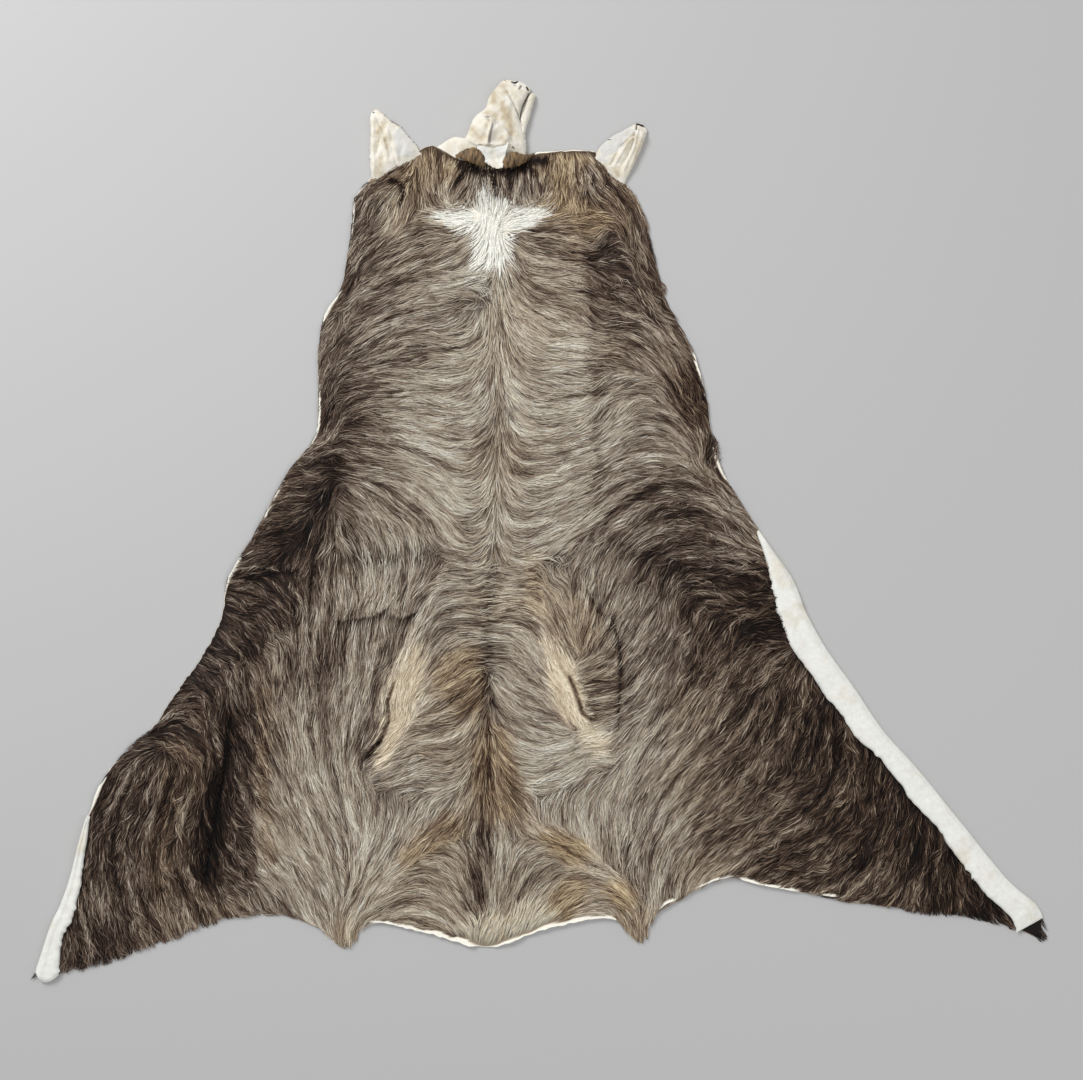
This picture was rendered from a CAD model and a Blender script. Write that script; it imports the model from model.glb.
"""A tanned waterbuck cape laid out on a pale floor, hair side up, seen from straight above.

Tables are in millimetres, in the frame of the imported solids: +Y towards the head, +Z up.
"""

import math
from collections import namedtuple

import bmesh
import bpy
import numpy as np
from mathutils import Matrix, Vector, kdtree


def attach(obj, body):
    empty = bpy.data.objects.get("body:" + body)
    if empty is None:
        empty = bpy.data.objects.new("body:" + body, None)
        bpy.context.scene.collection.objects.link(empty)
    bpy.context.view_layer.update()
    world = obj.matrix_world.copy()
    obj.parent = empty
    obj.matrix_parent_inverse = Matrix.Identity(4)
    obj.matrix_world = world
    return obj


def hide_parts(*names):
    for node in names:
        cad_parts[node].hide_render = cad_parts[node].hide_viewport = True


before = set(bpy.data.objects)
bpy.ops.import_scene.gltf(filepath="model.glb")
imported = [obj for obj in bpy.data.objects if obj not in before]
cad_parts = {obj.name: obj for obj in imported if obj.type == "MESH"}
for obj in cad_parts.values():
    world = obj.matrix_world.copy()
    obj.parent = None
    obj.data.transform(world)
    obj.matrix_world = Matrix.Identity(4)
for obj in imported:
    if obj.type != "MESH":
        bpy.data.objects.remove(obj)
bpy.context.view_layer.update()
MM = 0.001


# Floor, light and camera: a plain pale floor, one soft key lamp with a weaker one opposite, and an
# even sky. The camera looks straight down with the head end up. Sizes here are in metres
FLOOR_REACH = 15.0
FLOOR_BELOW = 0.0004
CAMERA_PLACE = (0.0066, -0.0107, 2.482)
SKY_STRENGTH = 0.55


def new_material(name, roughness, gloss):
    """A material with one Principled shader. Returns it with its nodes, links and shader."""
    made = bpy.data.materials.new(name)
    made.use_nodes = True
    shader = made.node_tree.nodes["Principled BSDF"]
    shader.inputs["Roughness"].default_value = roughness
    shader.inputs["Specular IOR Level"].default_value = gloss
    return made, made.node_tree.nodes, made.node_tree.links, shader


def object_from(bm, name, finishes):
    """The smooth object of a finished bmesh, with its materials."""
    mesh = bpy.data.meshes.new(name)
    bm.to_mesh(mesh)
    bm.free()
    mesh.shade_smooth()
    for finish in finishes:
        mesh.materials.append(finish)
    made = bpy.data.objects.new(name, mesh)
    bpy.context.scene.collection.objects.link(made)
    return made


def soft_light(name, place, target, size, power):
    """A round lamp that shines from its place at a target."""
    lamp = bpy.data.lights.new(name, "AREA")
    lamp.shape = "DISK"
    lamp.size = size
    lamp.energy = power
    made = bpy.data.objects.new(name, lamp)
    made.location = place
    aim = Vector(target) - Vector(place)
    made.rotation_euler = aim.to_track_quat("-Z", "Y").to_euler()
    bpy.context.scene.collection.objects.link(made)


floor_finish, _, _, shader = new_material("pale_floor", 0.9, 0.1)
shader.inputs["Base Color"].default_value = (0.50, 0.50, 0.50, 1.0)
bm = bmesh.new()
bmesh.ops.create_grid(bm, x_segments=1, y_segments=1, size=FLOOR_REACH)
floor = object_from(bm, "floor", [floor_finish])
floor.location.z = -FLOOR_BELOW

lens = bpy.data.cameras.new("camera")
lens.lens = 50.0
camera = bpy.data.objects.new("camera", lens)
camera.location = CAMERA_PLACE
bpy.context.scene.collection.objects.link(camera)
bpy.context.scene.camera = camera

world = bpy.data.worlds.new("soft_room")
world.use_nodes = True
sky = world.node_tree.nodes["Background"]
sky.inputs["Color"].default_value = (1.0, 1.0, 1.0, 1.0)
sky.inputs["Strength"].default_value = SKY_STRENGTH
bpy.context.scene.world = world
bpy.context.scene.view_settings.view_transform = "Standard"
soft_light("key_light", (-2.2, 2.4, 2.6), (0.0, -0.1, 0.0), 1.6, 110)
soft_light("fill_light", (2.4, -1.2, 3.0), (0.1, -0.2, 0.0), 2.5, 30)


# The cape itself: one tanned skin of neck, chest and shoulders, 1.6 mm thick, with its outline and
# folds as on the solid. Its upper side carries the hair roots, and shows cream where the armpits
# are nearly bare. The cut edge curls up white, and the underside is flesh side
SKIN_THICKNESS = 1.6
Section = namedtuple("Section", "along left right")
SECTIONS = [
    Section(-650, -801, 833),
    Section(-615, -785, 820),
    Section(-570, -769, 770),
    Section(-470, -742, 689),
    Section(-390, -705, 624),
    Section(-325, -638, 566),
    Section(-260, -594, 522),
    Section(-190, -545, 472),
    Section(-130, -519, 439),
    Section(-75, -510, 417),
    Section(0, -465, 367),
    Section(95, -414, 308),
    Section(160, -366, 286),
    Section(225, -360, 277),
    Section(300, -360, 256),
    Section(360, -350, 222),
    Section(405, -322, 204),
    Section(450, -313, 192),
    Section(510, -305, 180),
    Section(555, -300, 162),
]
Turn = namedtuple("Turn", "place across along")
TAIL_TURNS = [
    Turn("left tip", -825, -725),
    Turn("left wing", -720, -700),
    Turn("left wing, inner end", -555, -640),
    Turn("left flank", -500, -624),
    Turn("left hollow", -405, -626),
    Turn("left leg tuft", -317, -667),
    Turn("beside left leg tuft", -272, -640),
    Turn("brisket, left slope", -175, -660),
    Turn("brisket", -80, -682),
    Turn("brisket, right slope", 20, -650),
    Turn("beside right leg tuft", 118, -634),
    Turn("right leg tuft", 170, -660),
    Turn("behind right leg tuft", 203, -617),
    Turn("right hollow", 310, -566),
    Turn("right flank", 375, -580),
    Turn("right wing", 605, -615),
    Turn("right wing, outer end", 740, -631),
    Turn("right tip", 830, -670),
]
NECK_TURNS = [
    Turn("left corner", -270, 590),
    Turn("left roll", -195, 632),
    Turn("left roll, top", -170, 638),
    Turn("collar, left dip", -125, 616),
    Turn("throat", -40, 613),
    Turn("collar, right rise", 10, 629),
    Turn("right roll", 95, 629),
    Turn("right roll, end", 122, 602),
    Turn("right corner", 150, 570),
]
TAIL_EDGE = [(turn.across, turn.along) for turn in TAIL_TURNS]
NECK_EDGE = [(turn.across, turn.along) for turn in NECK_TURNS]
LEFT_EDGE = TAIL_EDGE[:1] + [(row.left, row.along) for row in SECTIONS] + NECK_EDGE[:1]
RIGHT_EDGE = TAIL_EDGE[-1:] + [(row.right, row.along) for row in SECTIONS] + NECK_EDGE[-1:]
HIDE_EDGES = (TAIL_EDGE, NECK_EDGE, LEFT_EDGE, RIGHT_EDGE)

Fold = namedtuple("Fold", "name path rise left right")
LEFT_ARMPIT = [
    (-148, -49), (-161, -74), (-186, -123), (-207, -172),
    (-232, -212), (-252, -253), (-261, -278), (-258, -298),
]
RIGHT_ARMPIT = [
    (2, -40), (0, -80), (16, -129), (32, -154), (45, -184),
    (59, -214), (78, -247), (89, -270), (88, -290),
]
LEFT_PIT_CREASE = [(-235, -245), (-246, -275), (-245, -308), (-260, -344), (-278, -366)]
RIGHT_PIT_CLEFT = [(53, -236), (64, -262), (74, -296), (88, -306)]
RIGHT_PIT_NICK = [(62, -318), (66, -335), (67, -350)]
RIGHT_TUCK = [(78, -90), (98, -130), (120, -135), (131, -176), (136, -217), (133, -272), (131, -322)]
LONG_TUCK = [
    (70, 505), (79, 470), (80, 420), (86, 360), (83, 300), (91, 235), (89, 170), (97, 110), (95, 55),
]
DARK_TROUGH = [(-460, -200), (-485, -340), (-520, -470), (-540, -560), (-505, -640)]
MANE_EDGE = [(-330, 130), (-340, 55), (-360, -20), (-390, -110), (-455, -190)]
RIGHT_PIT_LINE = [(46, -232), (56, -262), (66, -290), (78, -308), (92, -311)]
FOLDS = [
    Fold("left armpit edge", LEFT_ARMPIT, 13, 34, 5),
    Fold("left armpit roll", [(-250, -300), (-258, -328), (-275, -352), (-290, -372)], 8, 6, 5),
    Fold("left armpit crease", LEFT_PIT_CREASE, -6, 4, 4),
    Fold("right armpit edge", RIGHT_ARMPIT, 13, 5, 34),
    Fold("right armpit lobe", [(58, -225), (72, -250), (84, -276)], 4, 8, 8),
    Fold("right armpit bright line", RIGHT_PIT_LINE, 5, 2.5, 8),
    Fold("right armpit cleft", RIGHT_PIT_CLEFT, -6, 5, 3),
    Fold("right armpit nick", RIGHT_PIT_NICK, -4, 5, 2.5),
    Fold("right armpit tuck", RIGHT_TUCK, 10, 3.5, 32),
    Fold("right long tuck", LONG_TUCK, 7, 10, 30),
    Fold("left cross tuck", [(-305, -141), (-265, -134), (-250, -122)], 7, 22, 4),
    Fold("left cross tuck, inner end", [(-243, -131), (-227, -139), (-199, -129)], 6, 16, 4),
    Fold("mane overhang", MANE_EDGE, 12, 12, 36),
    Fold("dark panel swell", [(-500, -210), (-545, -340), (-575, -440), (-625, -605)], 17, 34, 44),
    Fold("dark trough", DARK_TROUGH, -7, 24, 20),
    Fold("colour step", [(-455, -275), (-452, -405), (-450, -605)], 8, 30, 10),
    Fold("left neck roll", [(-175, 618), (-235, 588), (-275, 545), (-290, 495), (-300, 440)], 9, 14, 12),
    Fold("hollow under left roll", [(-225, 560), (-245, 530), (-252, 490)], -5, 12, 14),
    Fold("collar roll left", [(-165, 622), (-130, 602), (-105, 605)], 8, 16, 10),
    Fold("collar roll right", [(0, 622), (30, 616), (90, 615)], 8, 16, 10),
    Fold("hollow under collar", [(-120, 582), (-60, 582), (-5, 596), (50, 600)], -6, 12, 14),
    Fold("throat pleat left", [(-85, 590), (-95, 545)], 7, 10, 10),
    Fold("throat pleat right", [(-30, 590), (-35, 535)], 7, 10, 10),
    Fold("right neck fold", [(75, 600), (65, 540), (70, 480)], 9, 20, 12),
    Fold("right neck swell", [(120, 590), (135, 520), (150, 430), (190, 330)], 9, 22, 22),
    Fold("breast groove", [(-60, 385), (-65, 140), (-80, -175), (-82, -340), (-85, -440)], -3, 14, 14),
    Fold("left breast swell", [(-120, -180), (-150, -300), (-170, -400)], 7, 45, 45),
    Fold("right breast swell", [(-30, -180), (0, -300), (15, -400)], 7, 45, 45),
    Fold("left leg ridge", [(-95, -440), (-195, -525), (-300, -645)], 7, 22, 20),
    Fold("right leg ridge", [(-75, -440), (35, -510), (160, -640)], 7, 20, 22),
    Fold("right shoulder swell", [(190, 180), (260, 40), (330, -110), (420, -300)], 6, 70, 70),
    Fold("left flank pleat", [(-345, -160), (-350, -260), (-345, -330)], 8, 14, 12),
    Fold("left flank pleat, inner", [(-300, -160), (-305, -250), (-300, -330)], 9, 12, 9),
]

# A fine grid over the cape holds every field that is read between its cells: depth inside the rim,
# height of the skin, colours, and how the hair lies
CELL = 2.5
grid_x, grid_y = np.arange(-880.0, 885.0, CELL), np.arange(-790.0, 690.0, CELL)
field_x, field_y = np.meshgrid(grid_x, grid_y)
RIM_STEPS = {"tail": 1100, "side": 900, "neck": 300}


def smooth(t):
    """A soft step from 0 to 1 while t goes from 0 to 1."""
    t = np.clip(t, 0.0, 1.0)
    return t * t * (3 - 2 * t)


def curve_through(points, shares):
    """Places at the given shares of the way along a smooth curve through the points."""
    points = np.array(points, dtype=float)
    steps = np.hypot(*np.diff(points, axis=0).T)
    lengths = np.concatenate([[0.0], np.cumsum(steps)])
    along = np.asarray(shares, dtype=float) * lengths[-1]
    i = np.clip(np.searchsorted(lengths, along, side="right") - 1, 0, len(points) - 2)
    t = ((along - lengths[i]) / (lengths[i + 1] - lengths[i]))[..., None]
    before, a = points[np.maximum(i - 1, 0)], points[i]
    b, after = points[i + 1], points[np.minimum(i + 2, len(points) - 1)]
    return (
        a * (2 * t**3 - 3 * t**2 + 1)
        + (b - before) / 2 * (t**3 - 2 * t**2 + t)
        + b * (3 * t**2 - 2 * t**3)
        + (after - a) / 2 * (t**3 - t**2)
    )


def between_cells(field, i, j):
    """A grid of values read at fractional columns i and rows j."""
    a, b = i.astype(int), j.astype(int)
    s, t = i - a, j - b
    return (
        field[b, a] * (1 - s) * (1 - t)
        + field[b, a + 1] * s * (1 - t)
        + field[b + 1, a] * (1 - s) * t
        + field[b + 1, a + 1] * s * t
    )


def at_places(field, x, y):
    """A field read at any places on the cape."""
    i = np.clip((x - grid_x[0]) / CELL, 0, len(grid_x) - 1.001)
    j = np.clip((y - grid_y[0]) / CELL, 0, len(grid_y) - 1.001)
    return between_cells(field, i, j)


def off_line(x, y, start, end):
    """Share of the way along a line that is nearest each place, and the way from there to it."""
    dx, dy = end[0] - start[0], end[1] - start[1]
    t = np.clip(((x - start[0]) * dx + (y - start[1]) * dy) / (dx * dx + dy * dy), 0, 1)
    return t, x - start[0] - t * dx, y - start[1] - t * dy


def fold_relief(folds, x, y):
    """Sum of the folds' rises at places: a soft slope on each side, faded at both ends."""
    total = np.zeros_like(x)
    for fold in folds:
        spans = list(zip(fold.path, fold.path[1:]))
        nearest, reach, share = np.full_like(x, 1e9), np.ones_like(x), np.zeros_like(x)
        for i, (start, end) in enumerate(spans):
            t, ox, oy = off_line(x, y, start, end)
            far = np.hypot(ox, oy)
            closer = far < nearest
            nearest = np.where(closer, far, nearest)
            on_left = (end[0] - start[0]) * oy - (end[1] - start[1]) * ox > 0
            reach = np.where(closer, np.where(on_left, fold.left, fold.right), reach)
            share = np.where(closer, (i + t) / len(spans), share)
        fade = smooth(4 * share + 0.25) * smooth(4 * (1 - share) + 0.25)
        total += fold.rise * fade * np.exp(-((nearest / reach) ** 2))
    return total


def ripple(x, y, size, seed):
    """Smooth unevenness between about -1 and 1, with bumps of roughly the given size."""
    phases = np.random.default_rng(seed)
    total = np.zeros_like(x)
    for _ in range(7):
        turn, phase = phases.uniform(0, math.tau, 2)
        k = phases.uniform(0.6, 1.6) * math.pi / size
        total += np.sin(k * (x * math.cos(turn) + y * math.sin(turn)) + phase)
    return total / 3.2


rim = np.concatenate([
    curve_through(TAIL_EDGE, np.linspace(0, 1, RIM_STEPS["tail"])[:-1]),
    curve_through(RIGHT_EDGE, np.linspace(0, 1, RIM_STEPS["side"])[:-1]),
    curve_through(NECK_EDGE, np.linspace(1, 0, RIM_STEPS["neck"])[:-1]),
    curve_through(LEFT_EDGE, np.linspace(1, 0, RIM_STEPS["side"])[:-1]),
])
near_rim = kdtree.KDTree(len(rim))
for i, (x, y) in enumerate(rim):
    near_rim.insert((x, y, 0.0), i)
near_rim.balance()
distance = np.array([near_rim.find((x, y, 0.0))[2] for x, y in zip(field_x.flat, field_y.flat)])
distance = distance.reshape(field_x.shape)
inside = np.zeros(field_x.shape, dtype=bool)
coarse = rim[::4]
for (ax, ay), (bx, by) in zip(coarse, np.roll(coarse, -1, axis=0)):
    if ay != by:
        crosses = (ay > field_y) != (by > field_y)
        inside ^= crosses & (field_x < (bx - ax) * (field_y - ay) / (by - ay) + ax)
depth = np.where(inside, distance, -distance)
outward_y, outward_x = np.gradient(-depth, CELL)

# Height of the skin's upper side: the folds on a low swell, eased down towards the rim, and a slope
# on which the hair past the rim comes down to the floor
RIM_EASE, RIM_TOP, FLOOR_CLEAR = 45, 2.0, 0.4
relief = fold_relief(FOLDS, field_x, field_y)
relief += 1.8 * np.sin(field_x / 83 + 0.7) * np.sin(field_y / 97 + 1.9)
relief += 0.9 * np.sin((field_x + field_y) / 41) + 0.7 * ripple(field_x, field_y, 38, 3)
on_skin = RIM_TOP + 2.0 * smooth(depth / RIM_EASE) + relief * smooth(0.25 + depth / RIM_EASE)
past_rim = 1.6 + depth * 0.12
skin_top = np.where(inside, np.maximum(on_skin, RIM_TOP), np.maximum(past_rim, FLOOR_CLEAR))

# Colour of the coat. Each row is a soft patch along a line: its reach, its lightness in hundredths
# of display white, and its warmth in tenths, from grey to golden
Shade = namedtuple("Shade", "place x0 y0 x1 y1 reach light warm")
SHADES = [
    Shade("red ridge, colour step", -452, -262, -454, -405, 6, 38, 5),
    Shade("red ridge, colour step, foot", -456, -425, -437, -530, 6, 40, 4),
    Shade("red ridge, wing", -592, -340, -624, -600, 9, 31, 4),
    Shade("red ridge, beside the trough", -556, -292, -566, -425, 9, 29, 4),
    Shade("neck edge", -285, 545, -320, 400, 28, 31, 0),
    Shade("neck edge, lower", -350, 300, -300, 160, 30, 31, 0),
    Shade("left roll", -232, 560, -236, 505, 10, 60, 3),
    Shade("left roll, top", -200, 590, -185, 585, 22, 47, 7),
    Shade("left corner", -260, 590, -245, 592, 16, 32, 4),
    Shade("left collar, tan", -182, 612, -148, 592, 13, 49, 7),
    Shade("right collar, pale", 2, 600, 18, 592, 9, 52, 5),
    Shade("left neck, upper", -215, 445, -205, 435, 32, 47, 1),
    Shade("left neck, outer", -262, 425, -258, 415, 26, 38, 0),
    Shade("left neck", -195, 360, -250, 300, 32, 46, 0),
    Shade("left neck, dark", -290, 248, -282, 242, 22, 36, 0),
    Shade("throat, left", -150, 390, -120, 230, 35, 56, 0),
    Shade("left neck, lower", -200, 225, -205, 220, 33, 53, 0),
    Shade("left neck, foot", -258, 160, -250, 160, 28, 45, 0),
    Shade("pale shoulder", -200, 135, -120, 40, 22, 61, 0),
    Shade("shoulder, outer", -290, 92, -270, 88, 26, 43, 0),
    Shade("mane, inner edge", -335, 100, -365, 60, 18, 22, 0),
    Shade("mane, top", -430, 50, -425, 48, 24, 27, 1),
    Shade("mane", -400, 0, -430, -110, 22, 19, 1),
    Shade("mane, outer edge", -478, -45, -474, -55, 20, 32, 0),
    Shade("mane, foot", -492, -150, -488, -155, 20, 21, 0),
    Shade("breast, top left", -60, 300, 0, 350, 30, 56, 2),
    Shade("pale breast", 0, 230, 50, 270, 36, 59, 0),
    Shade("throat, right", 55, 390, 0, 440, 26, 48, 1),
    Shade("throat, dark right", 40, 482, 50, 478, 20, 42, 2),
    Shade("right collar, tan", 28, 548, 42, 592, 16, 51, 9),
    Shade("right roll, swirl", 84, 586, 90, 566, 8, 48, 1),
    Shade("right roll, shaded side", 66, 596, 64, 560, 6, 38, 5),
    Shade("right roll, far side", 108, 585, 112, 545, 9, 33, 3),
    Shade("behind right roll", 102, 525, 68, 508, 16, 50, 8),
    Shade("right roll, side", 132, 525, 155, 558, 16, 37, 4),
    Shade("right neck edge", 172, 505, 190, 400, 18, 34, 2),
    Shade("right neck, dark", 118, 455, 150, 420, 21, 33, 0),
    Shade("long tuck, shade", 106, 410, 112, 380, 14, 26, 1),
    Shade("right neck, dark foot", 152, 382, 158, 378, 20, 30, 1),
    Shade("right neck", 120, 350, 165, 335, 20, 39, 0),
    Shade("right neck, outer", 212, 308, 218, 300, 20, 38, 1),
    Shade("right neck, streak", 126, 300, 134, 300, 18, 38, 2),
    Shade("right of the tuck", 110, 240, 152, 262, 20, 45, 0),
    Shade("right edge, dark", 250, 250, 258, 205, 17, 23, 4),
    Shade("right neck, lower", 192, 200, 198, 198, 22, 46, 0),
    Shade("beside the tuck", 118, 195, 122, 185, 20, 53, 0),
    Shade("right shoulder, top", 180, 135, 240, 130, 24, 43, 0),
    Shade("right edge, tuft", 280, 155, 290, 100, 16, 31, 2),
    Shade("beside the tuck, foot", 118, 85, 122, 75, 26, 46, 0),
    Shade("right shoulder, dark", 180, 60, 240, 60, 24, 32, 0),
    Shade("right shoulder, edge", 300, 40, 350, -20, 20, 37, 0),
    Shade("right shoulder", 148, 0, 152, 0, 20, 43, 0),
    Shade("right shoulder, low", 205, 0, 310, -60, 25, 27, 0),
    Shade("right side, dark", 365, -90, 335, -150, 22, 20, 2),
    Shade("strip's end", 384, -135, 388, -140, 10, 9, 2),
    Shade("right side", 218, -60, 222, -62, 24, 34, 0),
    Shade("collar, left", -130, 570, -165, 560, 16, 43, 1),
    Shade("collar, throat", -85, 575, -20, 572, 14, 43, 0),
    Shade("collar, right", 5, 562, 12, 566, 12, 40, 1),
    Shade("breast, upper", -60, 100, -55, 110, 28, 54, 2),
    Shade("breast, right", 0, 60, 60, 110, 33, 58, 0),
    Shade("breast, low right", 60, 20, 0, -20, 26, 55, 0),
    Shade("right of breast", 60, -60, 105, -60, 24, 47, 0),
    Shade("tan by the tuck", 45, -118, 70, -148, 14, 48, 4),
    Shade("breast, low left", -105, -20, -65, -60, 20, 54, 1),
    Shade("left of breast", -142, -58, -138, -62, 18, 48, 0),
    Shade("left shoulder, foot", -205, 0, -255, 25, 28, 48, 0),
    Shade("left shoulder, outer", -322, 20, -318, 20, 20, 36, 0),
    Shade("left flank, top", -250, -60, -240, -62, 28, 52, 0),
    Shade("left flank, mane side", -320, -60, -350, -120, 22, 40, 0),
    Shade("under the mane", -382, -58, -378, -62, 14, 27, 0),
    Shade("above the cross tuck", -250, -110, -195, -90, 22, 49, 0),
    Shade("breast bone, top", -86, -118, -84, -122, 20, 50, 2),
    Shade("left breast, top", -152, -145, -148, -145, 22, 48, 0),
    Shade("right breast", -50, -200, -25, -255, 22, 50, 0),
    Shade("golden breast", -120, -215, -128, -285, 14, 45, 7),
    Shade("left breast", -145, -305, -170, -350, 20, 51, 2),
    Shade("right breast, foot", 5, -335, 55, -390, 25, 58, 0),
    Shade("breast bone, golden", -70, -350, -62, -430, 12, 44, 7),
    Shade("left breast, foot", -200, -400, -240, -425, 23, 50, 0),
    Shade("left flank", -300, -200, -320, -290, 22, 48, 0),
    Shade("left flank, outer", -350, -200, -395, -190, 20, 37, 0),
    Shade("beside left armpit", -288, -328, -282, -332, 14, 42, 0),
    Shade("left flank, middle", -382, -300, -378, -300, 22, 47, 0),
    Shade("colour step, top", -440, -235, -440, -340, 16, 41, 1),
    Shade("left flank, pale", -400, -400, -350, -450, 28, 53, 0),
    Shade("left flank, step", -428, -480, -422, -480, 20, 51, 1),
    Shade("left flank, foot", -400, -550, -350, -600, 28, 54, 0),
    Shade("left flank, tail", -442, -600, -438, -600, 20, 46, 0),
    Shade("left hollow, tail", -502, -615, -498, -615, 14, 38, 2),
    Shade("beyond the step", -470, -300, -500, -575, 14, 25, 0),
    Shade("dark trough", -518, -400, -545, -545, 11, 10, 0),
    Shade("dark trough, top", -500, -330, -498, -325, 14, 24, 0),
    Shade("mane foot, pale", -498, -252, -496, -248, 12, 33, 0),
    Shade("left panel", -562, -400, -600, -560, 20, 30, 2),
    Shade("left panel, top", -560, -310, -555, -240, 19, 22, 0),
    Shade("left wing, shoulder", -620, -315, -665, -365, 18, 30, 0),
    Shade("left wing, inner", -642, -440, -638, -440, 22, 27, 0),
    Shade("left wing, outer", -705, -450, -705, -530, 21, 22, 0),
    Shade("left wing", -725, -610, -655, -600, 22, 32, 0),
    Shade("left wing, tail", -705, -670, -760, -690, 18, 25, 0),
    Shade("thin hair at the tail", -618, -642, -612, -638, 16, 40, 2),
    Shade("left tip", -827, -735, -823, -735, 12, 12, 0),
    Shade("left leg", -250, -500, -200, -445, 24, 58, 0),
    Shade("left leg, foot", -292, -580, -288, -580, 20, 50, 1),
    Shade("left leg ridge, tan", -205, -525, -150, -485, 11, 47, 7),
    Shade("left fan", -130, -555, -200, -585, 20, 52, 2),
    Shade("left fan, tail", -265, -620, -255, -620, 14, 51, 1),
    Shade("between the fans", -98, -520, -97, -600, 10, 38, 1),
    Shade("right fan, middle", -60, -540, -60, -600, 16, 50, 1),
    Shade("brisket, cream", -68, -648, 0, -642, 16, 82, 4),
    Shade("right fan", 0, -562, 10, -558, 18, 51, 1),
    Shade("right fan, tan", 48, -598, 54, -592, 14, 56, 8),
    Shade("right leg ridge, tan", 35, -508, 65, -522, 11, 48, 9),
    Shade("right fan, outer", 98, -550, 102, -550, 18, 52, 2),
    Shade("right fan, golden", 128, -585, 134, -590, 11, 50, 9),
    Shade("right fan, tail", 92, -616, 98, -614, 14, 58, 2),
    Shade("right leg", 60, -465, 105, -485, 19, 60, 0),
    Shade("right leg, foot", 153, -530, 157, -532, 18, 48, 0),
    Shade("right leg tuft", 168, -642, 172, -648, 12, 52, 4),
    Shade("left leg tuft", -317, -648, -317, -660, 12, 52, 4),
    Shade("right tuck, pocket", 118, -200, 108, -270, 11, 42, 2),
    Shade("right armpit, tan top", -8, -45, 2, -110, 8, 54, 5),
    Shade("right of the tuck, flank", 170, -150, 172, -250, 24, 47, 0),
    Shade("right flank, top", 218, -180, 222, -182, 20, 38, 0),
    Shade("right flank, pale", 200, -350, 205, -345, 28, 50, 0),
    Shade("right flank", 255, -300, 250, -420, 25, 44, 2),
    Shade("right flank, outer", 300, -300, 310, -500, 26, 37, 2),
    Shade("right flank, foot", 195, -450, 200, -550, 25, 50, 0),
    Shade("right flank, tail", 268, -560, 272, -560, 20, 43, 3),
    Shade("right wing, inner", 350, -250, 350, -400, 26, 30, 2),
    Shade("right wing, top", 400, -350, 420, -240, 24, 23, 2),
    Shade("right wing, dark", 450, -300, 480, -430, 24, 18, 3),
    Shade("right wing, pale", 400, -500, 450, -570, 26, 31, 2),
    Shade("right wing, strip side", 520, -345, 550, -490, 23, 18, 3),
    Shade("right wing, tail", 598, -590, 602, -590, 22, 27, 2),
    Shade("right wing, outer", 650, -540, 700, -600, 21, 16, 3),
    Shade("right wing, end", 758, -640, 762, -640, 16, 12, 2),
    Shade("below right shoulder", 300, -200, 268, -130, 22, 30, 2),
    Shade("right tip", 833, -658, 837, -662, 10, 8, 2),
]
weight = np.full(field_x.shape, 1e-12)
light, warm = weight * 40.0, weight * 0.0
for row in SHADES:
    _, off_x, off_y = off_line(field_x, field_y, (row.x0, row.y0), (row.x1, row.y1))
    gap = off_x**2 + off_y**2
    pull = (np.exp(-gap / (2 * row.reach**2)) + 0.002 / (1 + gap / 900)) / row.reach
    weight = weight + pull
    light = light + pull * row.light
    warm = warm + pull * row.warm
light, warm = light / weight / 100, warm / weight / 10

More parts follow.
